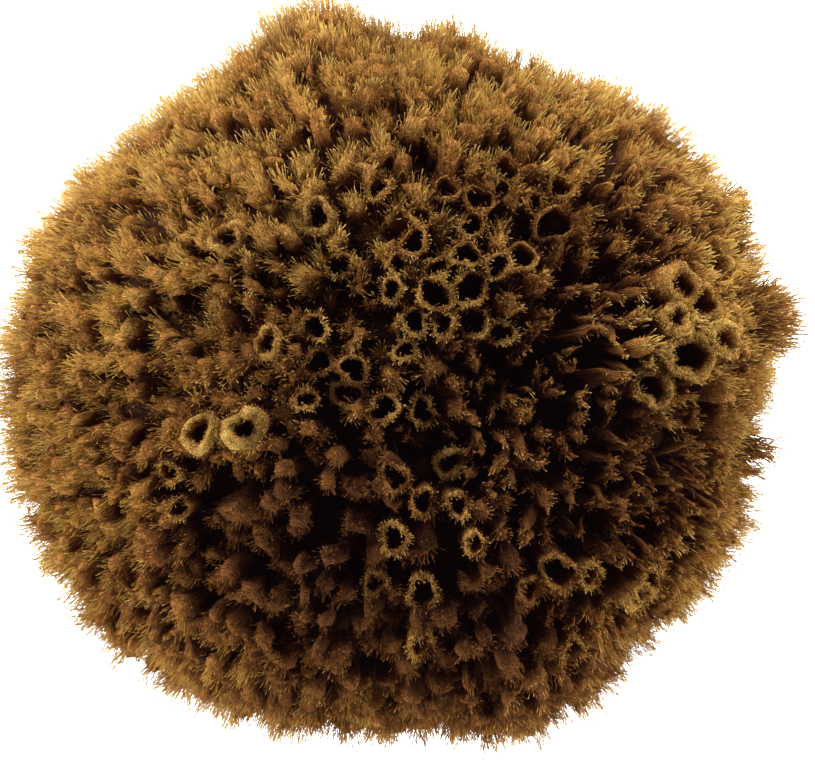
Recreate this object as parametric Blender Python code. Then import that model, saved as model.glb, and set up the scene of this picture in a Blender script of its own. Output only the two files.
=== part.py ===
"""Natural sea sponge, dried and trimmed flat where it was cut from the sea bed.

The sponge grew as one piece, so it is one solid: a lobed dome whose skin is divided into cells.
Most cells rise as a tapering tuft of fibre. The others are oscules, the round water outlets, each a
short tube with a raised rim and a deep pit. Metres, +Z up, origin on the cut base under the middle.
+X is the side with the projecting brush of tufts, and the long outlets cluster on the crown.
"""

import math
import random
from collections import namedtuple

import bmesh
import bpy
from mathutils import Vector

MM = 0.001

# Whole body. The waist is the widest level, and the belly narrows below it to the cut base.
WAIST_HEIGHT = 45 * MM
CROWN_RISE = 56 * MM
BELLY_DROP = 66 * MM
ROUNDNESS = 2.3
BASE_SHARE = 0.76

# Reach of the tuft tips seen from above: bearing from +X in degrees, anticlockwise, and radius in mm.
OUTLINE = (
    (0, 75), (8, 80), (20, 76.5), (31, 77), (37, 71.5), (50, 72), (65, 69), (82, 69.5), (92, 71),
    (104, 76.5), (112, 77.5), (128, 73.5), (140, 75), (155, 79), (180, 80), (200, 82), (212, 83),
    (228, 81), (250, 77.5), (270, 73), (280, 75), (291, 80), (302, 77), (312, 73.5), (330, 75), (350, 74),
)

# Broad swellings and hollows of the skin: plan position, radius and rise, all in mm.
Swell = namedtuple("Swell", "x y radius rise")
SWELLS = (
    Swell(55, 8, 13, 5.0),
    Swell(8, 24, 17, 3.0),
    Swell(-30, -11, 12, 3.5),
    Swell(47, -41, 9, 3.5),
    Swell(-28, 36, 16, 2.5),
    Swell(-12, 16, 7, -6.0),
    Swell(22, 1, 9, -5.0),
    Swell(40, 23, 8, -6.0),
    Swell(5, -13, 6, -8.0),
    Swell(-6, -45, 9, -3.0),
    Swell(-38, -34, 8, -3.0),
    Swell(66, -12, 7, -3.0),
)

# Oscules: plan position, bore radius and rim radius, all in mm.
Oscule = namedtuple("Oscule", "x y bore rim")
OSCULES = (
    # Cluster of tubes on the crown
    Oscule(-5.0, 35.3, 1.6, 3.0),
    Oscule(19.0, 38.8, 1.8, 3.0),
    Oscule(8.0, 35.5, 1.7, 3.0),
    Oscule(14.2, 34.0, 2.0, 2.9),
    Oscule(3.2, 30.9, 1.5, 2.6),
    Oscule(12.9, 28.6, 1.8, 2.7),
    Oscule(30.1, 36.2, 1.7, 2.8),
    Oscule(29.0, 29.6, 2.6, 3.8),
    Oscule(1.7, 24.8, 1.8, 2.8),
    Oscule(11.5, 22.8, 1.9, 2.7),
    Oscule(17.4, 20.6, 1.6, 2.6),
    Oscule(-2.4, 16.4, 1.5, 2.8),
    Oscule(5.6, 15.6, 2.3, 3.1),
    Oscule(12.4, 16.6, 2.5, 3.1),
    Oscule(1.7, 10.2, 1.7, 2.8),
    Oscule(18.8, 8.3, 1.7, 3.0),
    # Smooth collared mound on the +X side
    Oscule(52.6, 16.9, 2.0, 4.2),
    Oscule(58.6, 13.6, 1.6, 3.0),
    Oscule(54.4, 3.8, 2.9, 4.2),
    Oscule(61.6, 6.4, 1.9, 3.0),
    Oscule(47.6, -2.6, 2.3, 3.4),
    # Chain of rings left of the middle
    Oscule(-16.8, 9.0, 1.8, 2.9),
    Oscule(-16.8, 2.6, 1.9, 3.2),
    Oscule(-9.6, 1.2, 2.0, 3.2),
    Oscule(-18.8, -4.6, 1.4, 2.6),
    Oscule(-4.0, -6.2, 2.0, 3.3),
    Oscule(3.3, -6.9, 1.7, 3.1),
    # Scattered rings from the middle towards -Y
    Oscule(-1.9, -19.2, 1.9, 3.2),
    Oscule(3.4, -24.2, 1.7, 2.9),
    Oscule(10.2, -25.0, 1.5, 2.6),
    Oscule(-1.9, -31.0, 2.0, 3.5),
    Oscule(13.2, -31.6, 1.4, 2.5),
    Oscule(3.4, -41.9, 2.2, 3.6),
    Oscule(29.2, -37.4, 2.3, 3.6),
    Oscule(35.6, -38.4, 1.5, 2.6),
    Oscule(2.9, -52.4, 1.7, 3.4),
    Oscule(48.8, -40.4, 1.5, 2.8),
    Oscule(32.8, -53.8, 1.7, 3.0),
    # Rings on the -X side
    Oscule(-38.8, -11.0, 1.9, 3.2),
    Oscule(-30.4, -10.4, 1.8, 3.2),
    Oscule(-33.4, 25.8, 1.5, 3.0),
    Oscule(-16.6, 30.6, 1.6, 3.2),
    Oscule(-25.6, 6.0, 1.4, 3.0),
    Oscule(-12.6, 21.0, 1.9, 3.2),
)

# Tufts
TUFT_SPACING = 7.15 * MM
TUFT_HEIGHT = 12 * MM
TUFT_TIP_RADIUS = 1.8 * MM
TIP_RADIUS_SPREAD = 0.2
TUFT_TIP_CORNERS = 3
TUFT_LENGTH_SPREAD = 2.4 * MM
TUFT_LEAN = 1.0 * MM
WEB_SHARE = 0.7
LOWEST_TUFT = 4.0 * MM
LOWEST_TIP = 1.2 * MM
SHORTEN_BELOW = 16 * MM
SHORTEST_SHARE = 0.5

# Oscule tubes
RIM_CORNERS = 10
RIM_SHARE_OF_GAP = 0.48
THINNEST_RIM = 0.8 * MM
CLEAR_OF_RIM = 3.4 * MM
RING_CLEARANCE = 1.12
OSCULE_DEPTH = 17 * MM
OSCULE_FLOOR_SHARE = 0.55

# Cut base
BASE_RINGS = 4
BASE_CELLS_OUTERMOST = 26
BASE_EDGE_SHARE = 0.9

TRIES = 60000
SEED = 11

CENTRE = Vector((0.0, 0.0, WAIST_HEIGHT))

Cell = namedtuple("Cell", "kind direction point oscule")


def outline_radius(bearing):
    """Reach of the tuft tips at this bearing in radians, on a smooth closed curve through OUTLINE."""
    degrees = math.degrees(bearing) % 360
    count = len(OUTLINE)
    last = max(i for i in range(count) if OUTLINE[i][0] <= degrees)
    before, start, end, after = (OUTLINE[(last + step) % count][1] for step in (-1, 0, 1, 2))
    span = (OUTLINE[(last + 1) % count][0] - OUTLINE[last][0]) % 360
    t = (degrees - OUTLINE[last][0]) / span
    bend = 2 * before - 5 * start + 4 * end - after
    twist = -before + 3 * start - 3 * end + after
    return 0.5 * (2 * start + (end - before) * t + bend * t ** 2 + twist * t ** 3) * MM


def skin_radius(direction):
    """Distance from CENTRE to the smooth skin over the tuft tips, without swellings."""
    flat = math.hypot(direction.x, direction.y)
    wide = outline_radius(math.atan2(direction.y, direction.x))
    tall = CROWN_RISE if direction.z >= 0 else BELLY_DROP
    return ((flat / wide) ** ROUNDNESS + (abs(direction.z) / tall) ** ROUNDNESS) ** (-1 / ROUNDNESS)


def swelling(x, y):
    """Rise of the skin at a plan position, from the broad swellings and hollows."""
    rise = 0.0
    for swell in SWELLS:
        share = math.hypot(x - swell.x * MM, y - swell.y * MM) / (swell.radius * MM)
        rise += swell.rise * MM * math.exp(-share * share)
    return rise


def skin_point(direction, sunk=0.0):
    """Point on the skin over the tuft tips in this direction, or sunk this far below it."""
    point = CENTRE + direction * skin_radius(direction)
    upper = min(max(direction.z * 3, 0.0), 1.0)
    return point + direction * (swelling(point.x, point.y) * upper - sunk)


def direction_at(x, y):
    """Direction from CENTRE whose skin point lies over this plan position, on the upper half."""
    direction = Vector((x, y, CROWN_RISE)).normalized()
    for _ in range(40):
        point = skin_point(direction)
        height = max(point.z - WAIST_HEIGHT, 2 * MM)
        direction = Vector((x, y, height)).normalized()
    return direction


def random_direction(generator):
    """Direction spread evenly over the sphere."""
    z = generator.uniform(-1, 1)
    bearing = generator.uniform(0, 2 * math.pi)
    flat = math.sqrt(1 - z * z)
    return Vector((flat * math.cos(bearing), flat * math.sin(bearing), z))


def sized_oscules():
    """The oscules in metres, with rims that meet their neighbours' rims without crossing them."""
    sized = []
    for oscule in OSCULES:
        others = [o for o in OSCULES if o is not oscule]
        gap = min(math.hypot(oscule.x - o.x, oscule.y - o.y) for o in others) * MM
        rim = min(oscule.rim * MM, RIM_SHARE_OF_GAP * gap)
        bore = min(oscule.bore * MM, rim - THINNEST_RIM)
        sized.append(Oscule(oscule.x * MM, oscule.y * MM, bore, rim))
    return sized


def oscule_cells():
    """One cell for each oscule, at its place on the skin."""
    cells = []
    for oscule in sized_oscules():
        direction = direction_at(oscule.x, oscule.y)
        cells.append(Cell("oscule", direction, skin_point(direction), oscule))
    return cells


def tuft_cells(taken, generator):
    """Tuft cells scattered over the skin at an even spacing, clear of the oscules' rims."""
    cells = []
    for _ in range(TRIES):
        direction = random_direction(generator)
        point = skin_point(direction)
        if point.z < LOWEST_TUFT:
            continue
        if any((point - c.point).length < c.oscule.rim + CLEAR_OF_RIM for c in taken):
            continue
        if any((point - c.point).length < TUFT_SPACING for c in cells):
            continue
        cells.append(Cell("tuft", direction, point, None))
    return cells


def base_cells():
    """Flat cells on the cut base: rings round the middle, the outer one just inside the base's edge."""
    cells = []
    for ring in range(BASE_RINGS + 1):
        share = BASE_EDGE_SHARE * ring / BASE_RINGS
        count = max(1, round(BASE_CELLS_OUTERMOST * ring / BASE_RINGS))
        for i in range(count):
            bearing = 2 * math.pi * i / count
            radius = share * BASE_SHARE * outline_radius(bearing)
            point = Vector((radius * math.cos(bearing), radius * math.sin(bearing), 0.0))
            cells.append(Cell("base", (point - CENTRE).normalized(), point, None))
    return cells


def neighbours(cells):
    """Triples of cells that meet at a corner, from the convex hull of their directions."""
    hull = bmesh.new()
    for cell in cells:
        hull.verts.new(cell.direction)
    hull.verts.ensure_lookup_table()
    hull.verts.index_update()
    made = bmesh.ops.convex_hull(hull, input=hull.verts, use_existing_faces=False)
    faces = [f for f in made["geom"] if isinstance(f, bmesh.types.BMFace)]
    triples = [tuple(v.index for v in f.verts) for f in faces]
    hull.free()
    return triples


def tuft_height(point):
    """Height of the tufts round a point of the skin, less near the cut base."""
    share = min(max(point.z / SHORTEN_BELOW, 0.0), 1.0)
    return TUFT_HEIGHT * (SHORTEST_SHARE + (1 - SHORTEST_SHARE) * share)


def corner_point(triple, cells):
    """Place of the corner where three cells meet: a valley between tufts, or a point of the base."""
    met = [cells[i] for i in triple]
    direction = sum((c.direction for c in met), Vector()).normalized()
    on_base = sum(c.kind == "base" for c in met)
    if on_base == len(met):
        middle = sum((c.point for c in met), Vector()) / len(met)
        return Vector((middle.x, middle.y, 0.0))
    if on_base:
        bearing = math.atan2(direction.y, direction.x)
        radius = BASE_SHARE * outline_radius(bearing)
        return Vector((radius * math.cos(bearing), radius * math.sin(bearing), 0.0))
    webs = sum(c.kind == "oscule" for c in met) / len(met)
    depth = tuft_height(skin_point(direction)) * (1 - WEB_SHARE * webs)
    point = skin_point(direction, depth)
    point.z = max(point.z, LOWEST_TIP)
    return point


def clear_corner(point, triple, cells):
    """The corner moved sideways, off any oscule's rim that it would cut into."""
    for index in triple:
        cell = cells[index]
        if cell.kind != "oscule":
            continue
        offset = point - cell.point
        along = cell.direction * offset.dot(cell.direction)
        across = offset - along
        least = cell.oscule.rim * RING_CLEARANCE
        if across.length < least:
            point = cell.point + along + across.normalized() * least
    return point


def tangents(direction):
    """Two directions across this one, at right angles."""
    side = direction.orthogonal().normalized()
    return side, direction.cross(side)


def ring_points(centre, direction, radius, count, turn=0.0):
    """Points of a regular ring round centre, anticlockwise seen from outside."""
    side, up = tangents(direction)
    angles = (turn + 2 * math.pi * i / count for i in range(count))
    return [centre + (side * math.cos(a) + up * math.sin(a)) * radius for a in angles]


def angle_about(cell, point):
    """Angle of a point about the cell's axis."""
    side, up = tangents(cell.direction)
    offset = point - cell.point
    return math.atan2(offset.dot(up), offset.dot(side)) % (2 * math.pi)


def bridge(mesh, cell, outer, inner):
    """Triangles between two rings of vertices round one cell, each ring in order of angle."""
    outer = sorted(outer, key=lambda v: angle_about(cell, v.co))
    inner = sorted(inner, key=lambda v: angle_about(cell, v.co))
    outer_angles = [angle_about(cell, v.co) for v in outer]
    inner_angles = [angle_about(cell, v.co) for v in inner]
    i = j = 0
    while i < len(outer) or j < len(inner):
        a, b = outer[i % len(outer)], inner[j % len(inner)]
        next_outer = (outer_angles + [outer_angles[0] + 2 * math.pi])[min(i + 1, len(outer))]
        next_inner = (inner_angles + [inner_angles[0] + 2 * math.pi])[min(j + 1, len(inner))]
        step_outer = j >= len(inner) or (i < len(outer) and next_outer <= next_inner)
        if step_outer:
            mesh.faces.new((a, outer[(i + 1) % len(outer)], b))
            i += 1
        else:
            mesh.faces.new((a, inner[(j + 1) % len(inner)], b))
            j += 1
    return inner


def add_tuft(mesh, cell, ring, generator):
    """A tuft that tapers from the cell's valley ring to a small flat tip."""
    side, up = tangents(cell.direction)
    lean = side * generator.uniform(-1, 1) + up * generator.uniform(-1, 1)
    longer = generator.uniform(-1, 1) * TUFT_LENGTH_SPREAD
    tip = cell.point + lean * TUFT_LEAN + cell.direction * min(longer, 0.0)
    tip.z = max(tip.z, LOWEST_TIP + TUFT_TIP_RADIUS)
    turn = generator.uniform(0, 2 * math.pi)
    radius = TUFT_TIP_RADIUS * (1 + generator.uniform(-1, 1) * TIP_RADIUS_SPREAD)
    corners = ring_points(tip, cell.direction, radius, TUFT_TIP_CORNERS, turn)
    top = bridge(mesh, cell, ring, [mesh.verts.new(p) for p in corners])
    mesh.faces.new(top)


def add_oscule(mesh, cell, ring, generator):
    """A tube with a raised rim round a pit that narrows to a closed floor."""
    oscule, turn = cell.oscule, generator.uniform(0, 1)
    levels = (
        (0.0, oscule.rim),
        (0.0, oscule.bore),
        (-OSCULE_DEPTH, oscule.bore * OSCULE_FLOOR_SHARE),
    )
    ring_verts = ring
    for height, radius in levels:
        centre = cell.point + cell.direction * height
        corners = ring_points(centre, cell.direction, radius, RIM_CORNERS, turn)
        ring_verts = bridge(mesh, cell, ring_verts, [mesh.verts.new(p) for p in corners])
    mesh.faces.new(ring_verts)


def sponge_mesh(cells, generator):
    """The whole skin as one closed mesh: every cell's tuft, tube or flat patch, joined at the corners."""
    mesh = bmesh.new()
    rings = {i: [] for i in range(len(cells))}
    for triple in neighbours(cells):
        corner = mesh.verts.new(clear_corner(corner_point(triple, cells), triple, cells))
        for index in triple:
            rings[index].append(corner)
    base_faces = []
    for index, cell in enumerate(cells):
        ring = sorted(rings[index], key=lambda v, c=cell: angle_about(c, v.co))
        if cell.kind == "tuft":
            add_tuft(mesh, cell, ring, generator)
        elif cell.kind == "oscule":
            add_oscule(mesh, cell, ring, generator)
        else:
            base_faces.append(mesh.faces.new(ring))
    bmesh.ops.dissolve_faces(mesh, faces=base_faces, use_verts=True)
    bmesh.ops.recalc_face_normals(mesh, faces=mesh.faces)
    return mesh


def felt_material():
    """Dry golden-brown sponge fibre."""
    material = bpy.data.materials.new("sponge_fibre")
    material.use_nodes = True
    shader = material.node_tree.nodes["Principled BSDF"]
    shader.inputs["Base Color"].default_value = (0.42, 0.24, 0.085, 1.0)
    shader.inputs["Roughness"].default_value = 0.95
    shader.inputs["Metallic"].default_value = 0.0
    return material


def main():
    for obj in list(bpy.data.objects):
        bpy.data.objects.remove(obj)
    generator = random.Random(SEED)
    oscules = oscule_cells()
    cells = oscules + tuft_cells(oscules, generator) + base_cells()
    mesh = sponge_mesh(cells, generator)
    data = bpy.data.meshes.new("sponge")
    mesh.to_mesh(data)
    mesh.free()
    data.materials.append(felt_material())
    sponge = bpy.data.objects.new("sponge", data)
    bpy.context.scene.collection.objects.link(sponge)


main()
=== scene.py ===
"""Looks of a dried natural sea sponge: a lobed dome of felted tufts and fringed water outlets.

The sponge is one growth. Its mesh is made in layers that hold to each other: the inner body, the tufts
that stand on it, the outlet tubes between them, and the fine fibres that cover all of it.
"""

import logging
import math
from dataclasses import dataclass, field
from enum import Enum

import bmesh
import bpy
import numpy as np
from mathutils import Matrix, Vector


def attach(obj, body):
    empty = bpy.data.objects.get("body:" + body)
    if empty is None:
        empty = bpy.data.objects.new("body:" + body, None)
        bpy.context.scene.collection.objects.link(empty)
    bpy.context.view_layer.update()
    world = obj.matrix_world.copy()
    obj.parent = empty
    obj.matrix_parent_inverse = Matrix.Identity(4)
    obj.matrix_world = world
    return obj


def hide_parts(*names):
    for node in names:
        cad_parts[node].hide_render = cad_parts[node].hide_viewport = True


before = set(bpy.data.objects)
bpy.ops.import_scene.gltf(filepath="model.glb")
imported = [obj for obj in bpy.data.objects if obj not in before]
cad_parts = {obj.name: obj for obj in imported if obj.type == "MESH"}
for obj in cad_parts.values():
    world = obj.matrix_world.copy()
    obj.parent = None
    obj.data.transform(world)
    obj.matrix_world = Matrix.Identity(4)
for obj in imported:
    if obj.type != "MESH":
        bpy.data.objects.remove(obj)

log = logging.getLogger("sea_sponge")

MM = 0.001
BODY = "root"
SOLID = "sponge"

# Grain and strands of the felt, in metres
GRAIN_SIZE = 0.3 * MM
STRAND_WIDTH = 0.24 * MM
STRAND_LENGTH = 5.0 * MM
# How far apart the strand patterns of two bodies lie, in strands
PATTERN_SHIFT = 300.0
# Share of a body's cell on the map that stays free at each side, and round its two ends
MAP_MARGIN = 0.06
END_MARGIN = 0.04
# Stands in for lengths of nothing, so that they can be divided by
TINY = 1e-12

Array = np.ndarray


class Habit(Enum):
    """How the mouth of an outlet is finished."""

    FRINGED = "thin wall with a crown of fibre points"
    COLLARED = "thick soft collar"
    OPEN = "bare hole between tufts"


@dataclass(frozen=True)
class Patch:
    """A round place seen from above, in mm, and how much it adds at its middle."""

    x: float
    y: float
    radius: float
    strength: float

    def at(self, points: Array) -> Array:
        """What it adds at points in metres, falling off evenly on all sides."""
        apart = np.hypot(points[..., 0] - self.x * MM, points[..., 1] - self.y * MM) / (self.radius * MM)
        return self.strength * np.exp(-apart * apart)


@dataclass(frozen=True)
class Span:
    """A value that goes from one end to the other with a share in 0 to 1."""

    start: float
    end: float

    def at(self, share: Array) -> Array:
        """The value at a share."""
        return self.start + (self.end - self.start) * share

    def drawn(self, rng: np.random.Generator, count: int | tuple[int, ...]) -> Array:
        """Values drawn evenly between the two ends."""
        return rng.uniform(self.start, self.end, count)


@dataclass(frozen=True)
class Oscule:
    """A water outlet, in mm: plan position, bore radius, rim radius and how its mouth is finished."""

    x: float
    y: float
    bore: float
    rim: float
    habit: Habit = Habit.FRINGED


@dataclass(frozen=True)
class Bulb:
    """A large closed tuft of felt, in mm: plan position and radius."""

    x: float
    y: float
    radius: float


@dataclass(frozen=True)
class Brush:
    """Clusters of coarse strands on the rim: bearings in degrees, number of clusters, reach out in mm."""

    start: float
    end: float
    clusters: int
    reach: float


# Reach of the tuft tips in plan: bearing from +X in degrees, radius in mm
OUTLINE = (
    (0, 74), (8, 77), (20, 75.5), (31, 76.6), (37, 74.2), (50, 74), (65, 69), (82, 71.2), (92, 70.3),
    (104, 78), (112, 75.8), (128, 73), (140, 76), (155, 79.8), (180, 82), (200, 82.6), (212, 82.4),
    (228, 80.9), (250, 77.2), (270, 73.9), (280, 76.2), (291, 80), (302, 76.8), (312, 73.9), (330, 76.8),
    (350, 74),
)

# Rises and hollows of the skin, in mm
SWELLS = (
    Patch(55, 8, 13, 5.0),
    Patch(63, -3, 8, 3.5),
    Patch(8, 24, 17, 3.0),
    Patch(-30, -11, 12, 3.5),
    Patch(47, -41, 9, 3.5),
    Patch(-28, 36, 16, 2.5),
    Patch(-12, 16, 7, -6.0),
    Patch(22, 1, 9, -5.0),
    Patch(40, 23, 8, -6.0),
    Patch(5, -13, 6, -8.0),
    Patch(-6, -45, 9, -3.0),
    Patch(-38, -34, 8, -3.0),
    Patch(66, -12, 7, -3.0),
)

# Where single tufts stand further apart, or closer together on the mound
PARTINGS = (
    Patch(32, 4, 18, 0.55),
    Patch(-18, -30, 20, 0.5),
    Patch(5, -12, 14, 0.4),
    Patch(38, -22, 20, 0.25),
    Patch(57, 4, 14, -0.6),
)

# Where the felt is painted lighter: painted light on the tops of swellings
PAINTED_LIGHT_PATCHES = (
    Patch(57, 4, 15, 1.0),
    Patch(47, -41, 9, 1.2),
)

BULBS = (
    Bulb(60.5, -2.0, 4.4),
    Bulb(61.8, -8.8, 3.8),
    Bulb(45.8, 6.0, 3.2),
)

BRUSHES = (
    Brush(3.0, 12.5, 15, 6.2),
    Brush(-12.0, -7.0, 3, 4.0),
    Brush(24.0, 34.0, 4, 3.0),
)

OSCULES = (
    # Cluster of tubes on the crown
    Oscule(-5.0, 35.3, 1.6, 3.0),
    Oscule(19.0, 38.8, 1.8, 3.0),
    Oscule(8.0, 35.5, 1.7, 3.0),
    Oscule(14.2, 34.0, 2.1, 3.0),
    Oscule(3.2, 30.9, 1.5, 2.7),
    Oscule(12.9, 28.6, 1.8, 2.8),
    Oscule(30.1, 36.2, 1.7, 2.9),
    Oscule(25.2, 33.6, 1.4, 2.5),
    Oscule(29.0, 29.6, 2.7, 3.8),
    Oscule(1.7, 24.8, 1.9, 2.9),
    Oscule(11.5, 22.8, 1.9, 2.8),
    Oscule(-1.2, 21.2, 1.4, 2.4),
    Oscule(6.2, 20.2, 1.6, 2.6),
    Oscule(17.4, 20.6, 1.7, 2.7),
    Oscule(-2.4, 16.0, 1.5, 2.7),
    Oscule(5.6, 15.4, 2.5, 3.3),
    Oscule(12.2, 16.6, 2.7, 3.4),
    Oscule(1.7, 10.2, 1.8, 2.8),
    Oscule(7.2, 9.6, 1.6, 2.6),
    Oscule(18.8, 8.3, 1.7, 3.1),
    Oscule(13.2, 10.9, 2.3, 2.9, Habit.OPEN),
    Oscule(23.0, 23.6, 2.1, 3.0, Habit.OPEN),
    # Smooth collared mound on the +X side
    Oscule(52.9, 17.0, 2.0, 4.6, Habit.COLLARED),
    Oscule(58.7, 14.2, 1.8, 3.4, Habit.COLLARED),
    Oscule(54.6, 3.7, 2.8, 4.7, Habit.COLLARED),
    Oscule(60.9, 6.9, 1.4, 3.6, Habit.COLLARED),
    Oscule(48.4, -2.5, 2.2, 3.6, Habit.COLLARED),
    Oscule(51.5, 10.7, 1.2, 3.0, Habit.COLLARED),
    # Chain of rings left of the middle
    Oscule(-16.8, 9.0, 1.8, 3.3),
    Oscule(-16.8, 2.6, 1.9, 3.5),
    Oscule(-9.6, 1.2, 2.0, 3.4),
    Oscule(-11.6, -3.9, 1.9, 2.8, Habit.OPEN),
    Oscule(-18.8, -4.6, 1.4, 2.8),
    Oscule(-4.0, -6.2, 2.0, 3.5),
    Oscule(3.3, -6.9, 1.8, 3.3),
    Oscule(0.0, 4.8, 1.4, 2.6),
    # Scattered rings from the middle towards -Y
    Oscule(-1.9, -19.2, 1.9, 3.5),
    Oscule(3.4, -24.2, 1.7, 3.1),
    Oscule(10.2, -25.0, 1.5, 2.8),
    Oscule(8.8, -17.3, 1.5, 2.7, Habit.OPEN),
    Oscule(-1.9, -31.0, 2.0, 3.8),
    Oscule(13.2, -31.6, 1.4, 2.6),
    Oscule(-5.6, -40.3, 1.5, 2.7),
    Oscule(3.4, -41.9, 2.3, 3.9),
    Oscule(29.2, -37.4, 2.6, 3.9),
    Oscule(35.6, -38.4, 1.6, 2.8),
    Oscule(23.8, -40.9, 1.4, 2.8),
    Oscule(2.9, -52.4, 1.7, 3.8),
    Oscule(48.8, -40.4, 1.4, 2.8, Habit.COLLARED),
    Oscule(44.2, -42.4, 1.1, 2.5, Habit.COLLARED),
    Oscule(32.8, -53.8, 1.8, 3.4),
    # Rings on the -X side
    Oscule(-38.8, -11.0, 1.5, 3.4, Habit.COLLARED),
    Oscule(-30.8, -10.4, 1.5, 3.8, Habit.COLLARED),
    Oscule(-33.4, 25.8, 1.5, 3.2, Habit.COLLARED),
    Oscule(-16.6, 30.6, 1.6, 3.2, Habit.COLLARED),
    Oscule(-25.6, 6.0, 1.3, 2.8, Habit.COLLARED),
    Oscule(-12.6, 21.0, 1.8, 3.6),
    Oscule(-45.5, -18.8, 1.5, 2.8),
    Oscule(-43.0, -25.3, 1.3, 2.6),
)


def unit(vectors: Array) -> Array:
    """Vectors of length one along the given ones."""
    return vectors / np.maximum(np.linalg.norm(vectors, axis=-1, keepdims=True), TINY)


def across(ways: Array) -> tuple[Array, Array]:
    """Two directions at right angles to each way and to each other.

    Args:
        ways: unit directions.

    Returns:
        The side directions and the up directions.
    """
    helper = np.where(np.abs(ways[..., 2:3]) < 0.9, [[0.0, 0.0, 1.0]], [[1.0, 0.0, 0.0]])
    side = unit(np.cross(ways, helper))
    return side, np.cross(ways, side)


def mixed(low: Array | float, high: Array | float, share: Array) -> Array:
    """Values that go from low to high as share goes from 0 to 1."""
    return low + (high - low) * share


def angles_round(sides: int) -> Array:
    """Even angles round a ring of so many sides, in radians."""
    return 2 * np.pi * np.arange(sides) / sides


def spokes(side: Array, up: Array, angles: Array) -> Array:
    """Directions round each axis, at angles from its side direction towards its up direction."""
    return side[:, None] * np.cos(angles)[..., None] + up[:, None] * np.sin(angles)[..., None]


def between_sides(turn: Array, sides: int) -> tuple[Array, Array, Array]:
    """The sides before and after places round a ring, and each place's share of the way between them."""
    before = turn.astype(int)
    return before % sides, (before + 1) % sides, turn - before


def flutter(points: Array, wavelength: float, size: float, seed: int) -> Array:
    """Irregular shifts that move neighbouring points alike.

    Args:
        points: places in metres.
        wavelength: about how far apart the shifts change, in metres.
        size: how far they reach, in metres.
        seed: start of the chance used.

    Returns:
        A shift for each point, in metres.
    """
    rng = np.random.default_rng(seed)
    count = 8
    waves = unit(rng.normal(0, 1, (count, 3))) * rng.uniform(0.7, 1.4, (count, 1)) * 2 * np.pi / wavelength
    phases = rng.uniform(0, 2 * np.pi, count)
    ways = unit(rng.normal(0, 1, (count, 3)))
    shifts = (np.sin(points @ wave + phase)[..., None] * way for wave, phase, way in zip(waves, phases, ways))
    return sum(shifts) * size / 2


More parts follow.
